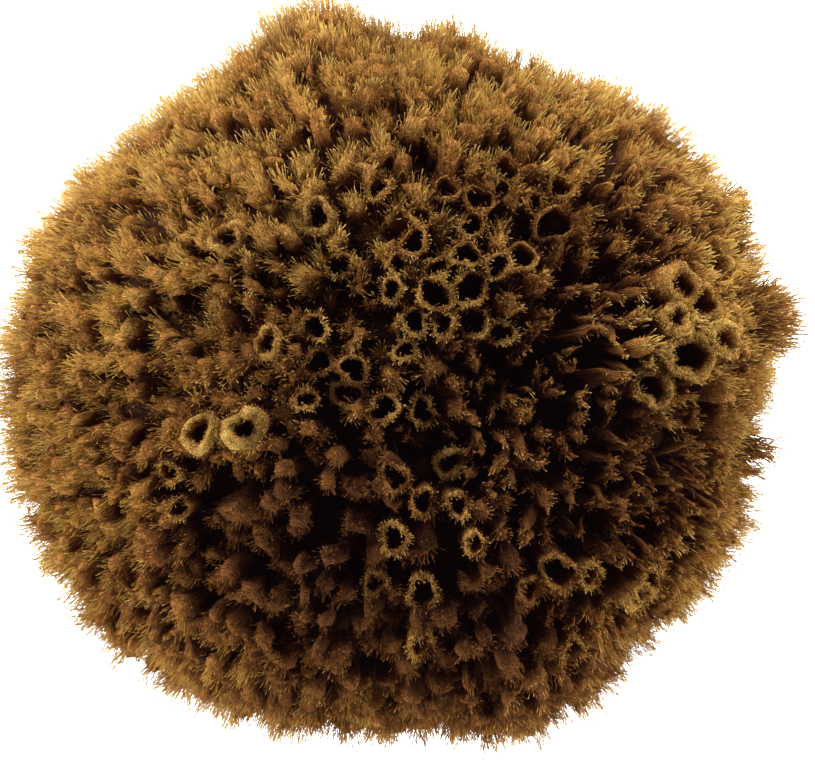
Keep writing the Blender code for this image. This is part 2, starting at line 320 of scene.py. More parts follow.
@dataclass(frozen=True)
class Skin:
    """The smooth surface over the tuft tips, seen from a centre on the waist, and the felt's zones.

    A lean says how a zone's value changes with x and y, over the width that goes with it.
    """

    waist: float = 45 * MM
    crown_rise: float = 56 * MM
    belly_drop: float = 66 * MM
    roundness: float = 2.3
    swell_fade: float = 3.0
    least_rise: float = 2 * MM
    crown_fall: float = 1.6
    belly_fall: float = 1.8
    belly_least: float = 0.2
    soft_middle: float = 0.45
    soft_lean: tuple[float, float] = (0.9, 0.8)
    soft_width: float = 45 * MM
    open_middle: float = 0.36
    open_lean: tuple[float, float] = (0.55, -0.75)
    open_width: float = 95 * MM
    rim_start: float = 54 * MM
    rim_width: float = 14 * MM
    rim_felting: float = 0.65
    rounds: int = 40

    @property
    def centre(self) -> Array:
        """The middle of the body, at the height of the waist."""
        return np.array([0.0, 0.0, self.waist])

    def reach(self, bearing: Array) -> Array:
        """Reach of the tuft tips in plan.

        Args:
            bearing: angles from +X, anticlockwise, in radians.

        Returns:
            Radii on a smooth closed curve through OUTLINE, in metres.
        """
        degrees = np.degrees(bearing) % 360
        marks = np.array([mark for mark, _ in OUTLINE], float)
        radii = np.array([radius for _, radius in OUTLINE], float)
        count = len(marks)
        last = np.searchsorted(marks, degrees, side="right") - 1
        before, start, end, after = (radii[(last + step) % count] for step in (-1, 0, 1, 2))
        share = (degrees - marks[last]) / ((marks[(last + 1) % count] - marks[last]) % 360)
        bend = 2 * before - 5 * start + 4 * end - after
        twist = -before + 3 * start - 3 * end + after
        return 0.5 * (2 * start + (end - before) * share + bend * share**2 + twist * share**3) * MM

    def broad_form(self, ways: Array) -> tuple[Array, Array, Array, Array]:
        """The form without its swellings.

        Args:
            ways: unit directions from the centre.

        Returns:
            For each way: how flat it lies, the reach in plan, the reach in height, and the way's length.
        """
        flat = np.hypot(ways[..., 0], ways[..., 1])
        wide = self.reach(np.arctan2(ways[..., 1], ways[..., 0]))
        tall = np.where(ways[..., 2] >= 0, self.crown_rise, self.belly_drop)
        power = self.roundness
        far = ((flat / wide) ** power + (np.abs(ways[..., 2]) / tall) ** power) ** (-1 / power)
        return flat, wide, tall, far

    def point(self, ways: Array, sunk: Array | float = 0.0) -> Array:
        """Points on the skin.

        Args:
            ways: unit directions from the centre.
            sunk: how far below the skin each point lies, in metres.

        Returns:
            The points, in metres.
        """
        far = self.broad_form(ways)[3]
        plan = ways[..., :2] * far[..., None]
        upper = np.clip(ways[..., 2] * self.swell_fade, 0.0, 1.0)
        swelling = sum(swell.at(plan) for swell in SWELLS) * MM
        far = far + swelling * upper - sunk
        return self.centre + ways * far[..., None]

    def growth_axis(self, ways: Array, squareness: Array | float, uprightness: float) -> Array:
        """The way in which tufts or tubes grow.

        Args:
            ways: unit directions from the centre to where they stand.
            squareness: 0 for straight from the centre, 1 for square to the skin's broad form.
            uprightness: how much they turn up towards the light.

        Returns:
            Unit directions.
        """
        flat, wide, tall, far = self.broad_form(ways)
        power = self.roundness
        sideways = (flat * far / wide) ** (power - 1) / wide
        upward = (np.abs(ways[..., 2]) * far / tall) ** (power - 1) / tall * np.sign(ways[..., 2])
        plan = ways[..., :2] / np.maximum(flat, TINY)[..., None] * sideways[..., None]
        square = unit(np.concatenate([plan, upward[..., None]], -1))
        lifted = np.clip(ways[..., 2:], 0, 1) * np.array([0.0, 0.0, uprightness])
        return unit(unit(mixed(ways, square, squareness)) + lifted)

    def way_at(self, x: Array, y: Array) -> Array:
        """Directions from the centre to the skin over plan positions.

        Args:
            x: places along X in metres.
            y: places along Y in metres.

        Returns:
            Unit directions.
        """
        height = np.full_like(x, self.crown_rise)
        for _ in range(self.rounds):
            ways = unit(np.stack([x, y, height], -1))
            height = np.maximum(self.point(ways)[..., 2] - self.waist, self.least_rise)
        return unit(np.stack([x, y, height], -1))

    def rimward(self, ways: Array) -> Array:
        """How near the waist directions point.

        Args:
            ways: unit directions from the centre.

        Returns:
            A share from 0 on the crown to 1 at the waist, and less again underneath.
        """
        height = ways[..., 2]
        under = np.clip(1 + height * self.belly_fall, self.belly_least, 1.0)
        return (1 - np.clip(height * self.crown_fall, 0, 1)) * under

    def softness(self, points: Array) -> Array:
        """How short and velvety the felt is, in 0 to 1: most towards -X and -Y."""
        lean = points[..., 0] * self.soft_lean[0] + points[..., 1] * self.soft_lean[1]
        return np.clip(self.soft_middle - lean / self.soft_width, 0.0, 1.0)

    def painted_light(self, points: Array) -> Array:
        """How much painted light lies on the felt, on the tops of swellings."""
        return sum(patch.at(points) for patch in PAINTED_LIGHT_PATCHES)

    def openness(self, points: Array) -> Array:
        """How far apart the tufts stand.

        Args:
            points: places in metres.

        Returns:
            A share from 0, felted together, to 1, single tufts over deep gaps.
        """
        lean = points[..., 0] * self.open_lean[0] + points[..., 1] * self.open_lean[1]
        share = self.open_middle + lean / self.open_width + sum(patch.at(points) for patch in PARTINGS)
        from_axis = np.hypot(points[..., 0], points[..., 1])
        at_rim = np.clip((from_axis - self.rim_start) / self.rim_width, 0, 1)
        return np.clip(share * (1 - self.rim_felting * at_rim), 0.0, 1.0)


@dataclass
class Growth:
    """A mesh in the making: points, triangles, map places, and the values that the looks go by."""

    points: list[Array] = field(default_factory=list)
    triangles: list[Array] = field(default_factory=list)
    places: list[Array] = field(default_factory=list)
    reach: list[Array] = field(default_factory=list)
    shade: list[Array] = field(default_factory=list)
    comb: list[Array] = field(default_factory=list)
    count: int = 0

    def add(
        self, points: Array, triangles: Array, places: Array, reach: Array, shade: Array, comb: Array
    ) -> None:
        """Adds points with their values, and triangles that index those points.

        Args:
            points: places in metres, one row each.
            triangles: three point numbers a row, anticlockwise seen from outside.
            places: map places, in 0 to 1, of each triangle's three corners.
            reach: per point, from 0 in the painted shade of the deep gaps to 1 at the lit tips.
            shade: per point, a random tone in 0 to 1, raised on tufts' fibres by a painted rim glow.
            comb: per point, a place that changes fast across the strands and slowly along them.
        """
        self.points.append(points)
        self.triangles.append(triangles + self.count)
        self.places.append(places)
        self.reach.append(reach)
        self.shade.append(shade)
        self.comb.append(comb)
        self.count += len(points)

    def finished(self, name: str, material: bpy.types.Material, smooth: bool) -> bpy.types.Object:
        """Makes the object, sets it on the body and reports it.

        Args:
            name: the piece's name.
            material: what it is dressed in.
            smooth: whether its faces are shaded smooth.

        Returns:
            The linked object.
        """
        points = np.concatenate(self.points)
        points[:, 2] = np.maximum(points[:, 2], 0.0)
        corners = np.concatenate(self.triangles).astype(np.int32)
        mesh = bpy.data.meshes.new(name)
        mesh.vertices.add(len(points))
        mesh.vertices.foreach_set("co", points.astype(np.float32).ravel())
        mesh.loops.add(corners.size)
        mesh.loops.foreach_set("vertex_index", corners.ravel())
        mesh.polygons.add(len(corners))
        mesh.polygons.foreach_set("loop_start", np.arange(0, corners.size, 3, dtype=np.int32))
        mesh.polygons.foreach_set("use_smooth", np.full(len(corners), smooth))
        mesh.update(calc_edges=True)
        layer = mesh.uv_layers.new(name="OFBake")
        layer.uv.foreach_set("vector", np.concatenate(self.places).astype(np.float32).ravel())
        for label, values in (("reach", self.reach), ("shade", self.shade)):
            attribute = mesh.attributes.new(label, "FLOAT", "POINT")
            attribute.data.foreach_set("value", np.concatenate(values).astype(np.float32))
        comb = mesh.attributes.new("comb", "FLOAT_VECTOR", "POINT")
        comb.data.foreach_set("vector", np.concatenate(self.comb).astype(np.float32).ravel())
        mesh.materials.append(material)
        obj = bpy.data.objects.new(name, mesh)
        bpy.context.scene.collection.objects.link(obj)
        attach(obj, BODY)
        log.info("%s: %d triangles", name, len(corners))
        return obj


def cells(count: int) -> tuple[Array, float]:
    """Equal square cells that fill a map.

    Args:
        count: the least number of cells.

    Returns:
        The corner of each cell nearest to the map's origin, and the width of a cell.
    """
    side = math.ceil(math.sqrt(count))
    number = np.arange(count)
    return np.stack([number % side, number // side], -1) / side, 1 / side


def lofts(rings: Array, ends: Array, reach: Array, shade: Array) -> tuple[Array, ...]:
    """Closed bodies lofted through rings of points.

    Args:
        rings: body, ring, side, xyz.
        ends: body, first or last end, xyz: the points that close each body.
        reach: body, ring.
        shade: body.

    Returns:
        Points, triangles, map places, reach, shade and comb, as Growth.add takes them.
    """
    bodies, levels, sides, _ = rings.shape
    each = levels * sides + 2
    points = np.concatenate([rings.reshape(bodies, -1, 3), ends], 1)
    level, side = np.meshgrid(np.arange(levels - 1), np.arange(sides), indexing="ij")
    after = (side + 1) % sides
    low, low_after = level * sides + side, level * sides + after
    high, high_after = low + sides, low_after + sides
    s, t = side / sides, level / (levels - 1)
    s1, t1 = (side + 1) / sides, (level + 1) / (levels - 1)
    one = np.stack([low, low_after, high_after], -1).reshape(-1, 3)
    two = np.stack([low, high_after, high], -1).reshape(-1, 3)
    uv_one = np.stack([s, t, s1, t, s1, t1], -1).reshape(-1, 3, 2)
    uv_two = np.stack([s, t, s1, t1, s, t1], -1).reshape(-1, 3, 2)
    ring = np.arange(sides)
    turned = (ring + 1) % sides
    first, last = np.full(sides, each - 2), np.full(sides, each - 1)
    top = (levels - 1) * sides
    cap_low = np.stack([turned, ring, first], -1)
    cap_high = np.stack([top + ring, top + turned, last], -1)
    middle = (ring + 0.5) / sides
    edge, edge1 = ring / sides, (ring + 1) / sides
    zero, full = np.zeros(sides), np.ones(sides)
    near_low, near_high = zero + END_MARGIN, full - END_MARGIN
    uv_low = np.stack([edge1, near_low, edge, near_low, middle, zero], -1).reshape(-1, 3, 2)
    uv_high = np.stack([edge, near_high, edge1, near_high, middle, full], -1).reshape(-1, 3, 2)
    faces = np.concatenate([one, two, cap_low, cap_high])
    uv = np.concatenate([uv_one, uv_two, uv_low, uv_high])
    corner, width = cells(bodies)
    places = corner[:, None, None] + (MAP_MARGIN + (1 - 2 * MAP_MARGIN) * uv[None]) * width
    triangles = faces[None] + (np.arange(bodies) * each)[:, None, None]
    values = np.concatenate([np.repeat(reach, sides, 1), reach[:, :1], reach[:, -1:]], 1)
    return (
        points.reshape(-1, 3),
        triangles.reshape(-1, 3),
        places.reshape(-1, 3, 2),
        values.ravel(),
        np.repeat(shade, each),
        combed(rings, ends, shade).reshape(-1, 3),
    )


def combed(rings: Array, ends: Array, shade: Array) -> Array:
    """Places for a pattern of strands that run along bodies.

    Args:
        rings: body, ring, side, xyz.
        ends: body, first or last end, xyz.
        shade: body; it sets the bodies' patterns apart.

    Returns:
        Body, point, xyz: one unit is a strand's width across, and about 5 mm along.
    """
    centres = np.concatenate([rings.mean(2), ends], 1)
    out = np.concatenate([(rings - centres[:, :-2, None]).reshape(len(rings), -1, 3), ends * 0], 1)
    axis = unit(ends[:, 1] - ends[:, 0])
    side, up = across(axis)
    along = np.sum(np.concatenate([rings.reshape(len(rings), -1, 3), ends], 1) * axis[:, None], -1)
    turned = (np.sum(out * side[:, None], -1), np.sum(out * up[:, None], -1))
    apart = shade[:, None] * PATTERN_SHIFT
    return np.stack([turned[0] / STRAND_WIDTH + apart, turned[1] / STRAND_WIDTH, along / STRAND_LENGTH], -1)


@dataclass
class Heart:
    """The inner body that everything grows from, and the flat cut underneath."""

    skin: Skin
    material: bpy.types.Material
    shallow: float = 6.8 * MM
    deep: float = 12.5 * MM
    under_rim: float = 3.6 * MM
    lumpiness: float = 1.2 * MM
    lump_waves: int = 6
    lump_fineness: float = 14.0
    roughness: float = 1.2 * MM
    roughness_pitch: float = 7 * MM
    # Painted shade: the inner body is painted near black, as it lies in the gaps
    light: Span = Span(0.10, 0.0)
    map_room: float = 1.05
    refinement: int = 5
    seed: int = 3

    def surface(self, ways: Array) -> tuple[Array, Array]:
        """The inner body's surface.

        Args:
            ways: unit directions from the skin's centre.

        Returns:
            The points in those directions, and how open the tufts over them are.
        """
        waves = np.random.default_rng(self.seed).normal(0, self.lump_fineness, (self.lump_waves, 3))
        lump = sum(np.sin(ways @ wave + k) for k, wave in enumerate(waves)) / self.lump_waves
        open_share = self.skin.openness(self.skin.point(ways))
        sunk = mixed(self.shallow, self.deep, open_share) + self.under_rim * self.skin.rimward(ways)
        points = self.skin.point(ways, sunk + self.lumpiness * lump)
        return points + flutter(points, self.roughness_pitch, self.roughness, self.seed + 1), open_share

    def build(self) -> bpy.types.Object:
        """Makes the inner body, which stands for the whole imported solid."""
        shape = bmesh.new()
        bmesh.ops.create_icosphere(shape, subdivisions=self.refinement, radius=1.0)
        ways = unit(np.array([v.co[:] for v in shape.verts]))
        faces = np.array([[v.index for v in f.verts] for f in shape.faces])
        shape.free()
        points, open_share = self.surface(ways)
        low = points[:, 2] < 0
        shrink = self.skin.waist / (self.skin.waist - points[low, 2])
        points[low] = self.skin.centre + (points[low] - self.skin.centre) * shrink[:, None]
        around = np.arctan2(ways[:, 1], ways[:, 0]) / (2 * np.pi) + 0.5
        up = np.arccos(np.clip(ways[:, 2], -1, 1)) / np.pi
        corner_u = around[faces]
        wrapped = (np.ptp(corner_u, axis=1) > 0.5)[:, None] & (corner_u < 0.5)
        places = np.stack([(corner_u + wrapped) / self.map_room, up[faces]], -1)
        reach, shade = self.light.at(open_share), np.full(len(points), 0.5)
        growth = Growth()
        growth.add(points, faces, places, reach, shade, points / GRAIN_SIZE)
        heart = growth.finished("sponge_heart", self.material, True)
        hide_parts(SOLID)
        return heart


@dataclass
class TuftField:
    """The tufts: tapering columns of felted fibre with uneven tops, split into fingers where they are hard.

    Spans go from felted to open parts. Room for fibres goes from the crown to the rim, and the open
    tufts' stoutness from hard to velvety ones. A tuft's open share is the sum of its velvet, soft
    and short, and its flame, hard and slim.
    """

    skin: Skin
    material: bpy.types.Material
    depth: float = 14.5 * MM
    full_height: float = 24 * MM
    shortest: float = 0.55
    tight: float = 4.1 * MM
    loose: float = 5.2 * MM
    low_zone: float = 40 * MM
    low_parting: float = 0.12
    patch_pitch: float = 15 * MM
    patchiness: float = 0.30
    patch_limits: Span = Span(0.75, 1.35)
    outlet_clearance: float = 0.28
    bulb_clearance: float = 0.33
    bulb_stoutness: float = 0.55
    lowest: float = 2.5 * MM
    room_for_fibres: Span = Span(1.5 * MM, 5.0 * MM)
    lean: Span = Span(0.10, 0.22)
    squareness: Span = Span(0.35, 0.75)
    unevenness: Span = Span(1.5 * MM, 1.7 * MM)
    clumping: Span = Span(2.0, 1.0)
    clump_waves: int = 9
    clump_pitch: Span = Span(380.0, 800.0)
    clump_height: float = 0.5 * MM
    rise_limits: Span = Span(-5.0 * MM, 1.6 * MM)
    bulb_rise: float = 1.5 * MM
    felted_stoutness: float = 0.61
    open_stoutness: Span = Span(0.46, 0.42)
    rim_slimming: float = 0.22
    thickness_range: Span = Span(0.74, 1.26)
    more_fingers: int = 3
    finger_chance: float = 0.85
    finger_slimming: float = 0.55
    parting: float = 0.75 * MM
    sides: int = 8
    heights: tuple[float, ...] = (0.0, 0.50, 0.74, 0.89, 0.975)
    profile: tuple[float, ...] = (0.90, 0.68, 0.88, 0.94, 0.58)
    slim_profile: tuple[float, ...] = (1.05, 0.88, 0.80, 0.60, 0.26)
    sway: float = 0.5 * MM
    flatness: Span = Span(0.44, 0.20)
    flatness_range: Span = Span(0.4, 1.4)
    oval_turn: Span = Span(0.5, 1.5)
    lobing: float = 0.12
    fluting: float = 0.15
    jitter: float = 0.05
    warp: float = 0.5 * MM
    warp_pitch: float = 6 * MM
    tip_height: float = 0.3 * MM
    # Painted shade: tufts darker down towards the gaps, and their bodies darker than the fibres
    light_fall: Span = Span(0.60, 1.6)
    flame_fall: float = -0.4
    velvet_fall: float = 0.5
    top_light: Span = Span(1.0, 0.94)
    body_light: Span = Span(0.88, 0.82)
    velvet_shade: float = 0.14
    # Painted light added to the tufts on the tops of swellings
    painted_light_gain: float = 0.12
    upper_from: float = 36 * MM
    cell_room: float = 1.3
    tries: int = 220000
    seed: int = 21
    ways: Array = field(init=False)
    tops: Array = field(init=False)
    axes: Array = field(init=False)
    radius: Array = field(init=False)
    length: Array = field(init=False)
    shade: Array = field(init=False)
    rings: Array = field(init=False)
    centres: Array = field(init=False)
    open_share: Array = field(init=False)
    velvet: Array = field(init=False)
    flame: Array = field(init=False)
    tone: Array = field(init=False)
    rimward: Array = field(init=False)

    def grow(self) -> None:
        """Chooses where the tufts stand and works out their rings."""
        rng = np.random.default_rng(self.seed)
        self.ways, spacing = self.fingered(*self.scattered(rng), rng)
        count = len(self.ways)
        skin_points = self.skin.point(self.ways)
        open_share = self.skin.openness(skin_points)
        lean = rng.normal(0, 1, (count, 3)) * self.lean.at(open_share)[:, None]
        squareness = self.squareness.at(open_share)[:, None]
        self.axes = unit(self.skin.growth_axis(self.ways, squareness, 0.0) + lean)
        self.open_share = open_share
        self.rimward = self.skin.rimward(self.ways)
        rise = rng.normal(0, 1, count) * self.unevenness.at(open_share)
        rise = rise + self.clumps(skin_points, rng) * self.clumping.at(open_share)
        rise = np.clip(rise, self.rise_limits.start, self.rise_limits.end)
        rise = rise - self.room_for_fibres.at(self.rimward)
        rise[-len(BULBS) :] = self.bulb_rise
        self.tops = skin_points + self.ways * rise[:, None]
        height = np.clip(self.tops[:, 2] / self.full_height, 0, 1)
        self.length = self.depth * mixed(self.shortest, 1.0, height)
        self.velvet = self.skin.softness(skin_points) * open_share
        self.flame = open_share - self.velvet
        stout = mixed(self.felted_stoutness, self.open_stoutness.at(self.velvet), open_share)
        stout = stout * (1 - self.rim_slimming * self.rimward)
        self.radius = spacing * stout * self.thickness_range.drawn(rng, count)
        # Velvet tufts are darker; painted light is added on the tops of swellings
        self.tone = 1 - self.velvet_shade * self.velvet + self.painted_light_gain * self.skin.painted_light(skin_points)
        self.shade = rng.uniform(0, 1, count)
        self.shape(rng)

    def fingered(self, ways: Array, spacing: Array, rng: np.random.Generator) -> tuple[Array, Array]:
        """Splits the single tufts of the hard open part into fingers that part from one root.

        Args:
            ways: directions of the tufts from the body's centre, the bulbs last.
            spacing: the spacing round each.
            rng: the generator of all chance here.

        Returns:
            Directions and spacing again, with one row for each finger.
        """
        points = self.skin.point(ways)
        hard = self.skin.openness(points) * (1 - self.skin.softness(points))
        chances = rng.random((len(ways), self.more_fingers)) < hard[:, None] * self.finger_chance
        fingers = 1 + chances.sum(1)
        fingers[-len(BULBS) :] = 1
        parting = rng.normal(0, self.parting / self.skin.waist, (fingers.sum(), 3))
        split = np.repeat(fingers > 1, fingers)[:, None]
        slimmer = np.repeat(fingers, fingers) ** -self.finger_slimming
        return unit(np.repeat(ways, fingers, 0) + parting * split), np.repeat(spacing, fingers) * slimmer

    def clumps(self, points: Array, rng: np.random.Generator) -> Array:
        """Rise and fall of neighbouring tufts together, over about a centimetre.

        Args:
            points: places of the tufts on the skin.
            rng: the generator of all chance here.

        Returns:
            A rise for each tuft, in metres.
        """
        waves = unit(rng.normal(0, 1, (self.clump_waves, 3)))
        waves = waves * self.clump_pitch.drawn(rng, (self.clump_waves, 1))
        return sum(np.sin(points @ wave + k) for k, wave in enumerate(waves)) * self.clump_height

    def spacing(self, points: Array) -> Array:
        """Least distance between tufts.

        Args:
            points: places on the skin.

        Returns:
            The distance at each, in metres.
        """
        under = np.clip(1 - points[..., 2] / self.low_zone, 0, 1)
        patches = 1 + flutter(points, self.patch_pitch, self.patchiness, self.seed + 5)[..., 0]
        uneven = np.clip(patches, self.patch_limits.start, self.patch_limits.end)
        even = mixed(self.tight, self.loose, self.skin.openness(points))
        return even * (1 + self.low_parting * under) * uneven

    def scattered(self, rng: np.random.Generator) -> tuple[Array, Array]:
        """Even but irregular places for the tufts, clear of the outlets.

        Args:
            rng: the generator of all chance here.

        Returns:
            Directions of the tufts from the body's centre, and the spacing round each.
        """
        z = rng.uniform(-1, 1, self.tries)
        turn = rng.uniform(0, 2 * np.pi, self.tries)
        flat = np.sqrt(1 - z * z)
        ways = np.stack([flat * np.cos(turn), flat * np.sin(turn), z], -1)
        points = self.skin.point(ways)
        spacing = self.spacing(points)
        usable = points[:, 2] > self.lowest
        for oscule in OSCULES:
            at = self.skin.point(self.skin.way_at(np.array([oscule.x * MM]), np.array([oscule.y * MM])))
            apart = np.linalg.norm(points - at, axis=1)
            usable &= apart > oscule.rim * MM + spacing * self.outlet_clearance
        bulb_places = np.array([(bulb.x, bulb.y) for bulb in BULBS]) * MM
        bulbs = self.skin.way_at(bulb_places[:, 0], bulb_places[:, 1])
        for at, bulb in zip(self.skin.point(bulbs), BULBS):
            apart = np.linalg.norm(points - at, axis=1)
            usable &= apart > bulb.radius * MM + spacing * self.bulb_clearance
        grid: dict[tuple[int, int, int], list[int]] = {}
        pitch = self.loose * self.cell_room
        kept: list[int] = []
        for i in np.flatnonzero(usable):
            cell = tuple((points[i] // pitch).astype(int))
            near = (
                j
                for dx in (-1, 0, 1)
                for dy in (-1, 0, 1)
                for dz in (-1, 0, 1)
                for j in grid.get((cell[0] + dx, cell[1] + dy, cell[2] + dz), ())
            )
            if all(math.dist(points[i], points[j]) >= spacing[i] for j in near):
                grid.setdefault(cell, []).append(i)
                kept.append(i)
        sizes = np.array([bulb.radius for bulb in BULBS]) * MM / self.bulb_stoutness
        return np.concatenate([ways[kept], bulbs]), np.concatenate([spacing[kept], sizes])

    def shape(self, rng: np.random.Generator) -> None:
        """Works out every tuft's rings of points from its place, axis, length and radius.

        Args:
            rng: the generator of all chance here.
        """
        count = len(self.ways)
        downhill = self.ways * np.array([1.0, 1.0, 0.0])
        side = unit(downhill - self.axes * np.sum(downhill * self.axes, 1, keepdims=True))
        up = np.cross(self.axes, side)
        heights = np.array(self.heights)
        profile = mixed(np.array(self.profile), np.array(self.slim_profile), self.flame[:, None])
        along = (heights[None] - 1) * self.length[:, None]
        sway = rng.normal(0, self.sway, (count, 1, 3)) * (heights[None, :, None] ** 2)
        self.centres = self.tops[:, None] + self.axes[:, None] * along[..., None] + sway
        turn = rng.uniform(0, 2 * np.pi, count)
        flatness = self.flatness.at(self.open_share) * self.flatness_range.drawn(rng, count)
        theta = angles_round(self.sides)[None] + turn[:, None]
        oval_turn = rng.normal(0, 1, count) * self.oval_turn.at(self.open_share)
        oval = 1 + flatness[:, None] * np.cos(2 * (theta - oval_turn[:, None]))
        lobes = 1 + self.lobing * np.sin(3 * theta + rng.uniform(0, 6, count)[:, None])
        flutes = 1 + self.fluting * (-1.0) ** np.arange(self.sides)
        jitter = rng.normal(1, self.jitter, (count, len(heights), self.sides)) * flutes
        radius = self.radius[:, None, None] * profile[..., None] * (oval * lobes)[:, None] * jitter
        around = spokes(side, up, theta)
        self.rings = self.centres[:, :, None] + around[:, None] * radius[..., None]
        self.rings = self.rings + flutter(self.rings, self.warp_pitch, self.warp, self.seed + 1)

    def lightness(self, height: Array, chosen: Array) -> Array:
        """How light tufts are painted. Painted shade darkens them down towards the gaps,
        falling off sooner where gaps are deep.

        Args:
            height: shares of the tufts' height.
            chosen: the tufts' numbers.

        Returns:
            The reach that the looks go by, for each height and tuft.
        """
        open_share = self.open_share[chosen]
        fall = self.light_fall.at(open_share)
        fall = fall + self.flame_fall * self.flame[chosen] + self.velvet_fall * self.velvet[chosen]
        return np.clip(height, 0, 1) ** fall * self.top_light.at(open_share) * self.tone[chosen]

    def build(self) -> list[bpy.types.Object]:
        """Makes the upper and lower tufts as two pieces."""
        made = []
        upper = self.tops[:, 2] > self.upper_from
        for name, chosen in (("tufts_upper", upper), ("tufts_lower", ~upper)):
            numbers = np.flatnonzero(chosen)[:, None]
            reach = self.lightness(np.array(self.heights)[None], numbers)
            # Painted shade: the bodies are darker than the fibres on them
            reach = reach * self.body_light.at(self.open_share[numbers])
            below = self.centres[chosen][:, 0]
            above = self.centres[chosen][:, -1] + self.axes[chosen] * self.tip_height
            growth = Growth()
            growth.add(*lofts(self.rings[chosen], np.stack([below, above], 1), reach, self.shade[chosen]))
            made.append(growth.finished(name, self.material, True))
        return made


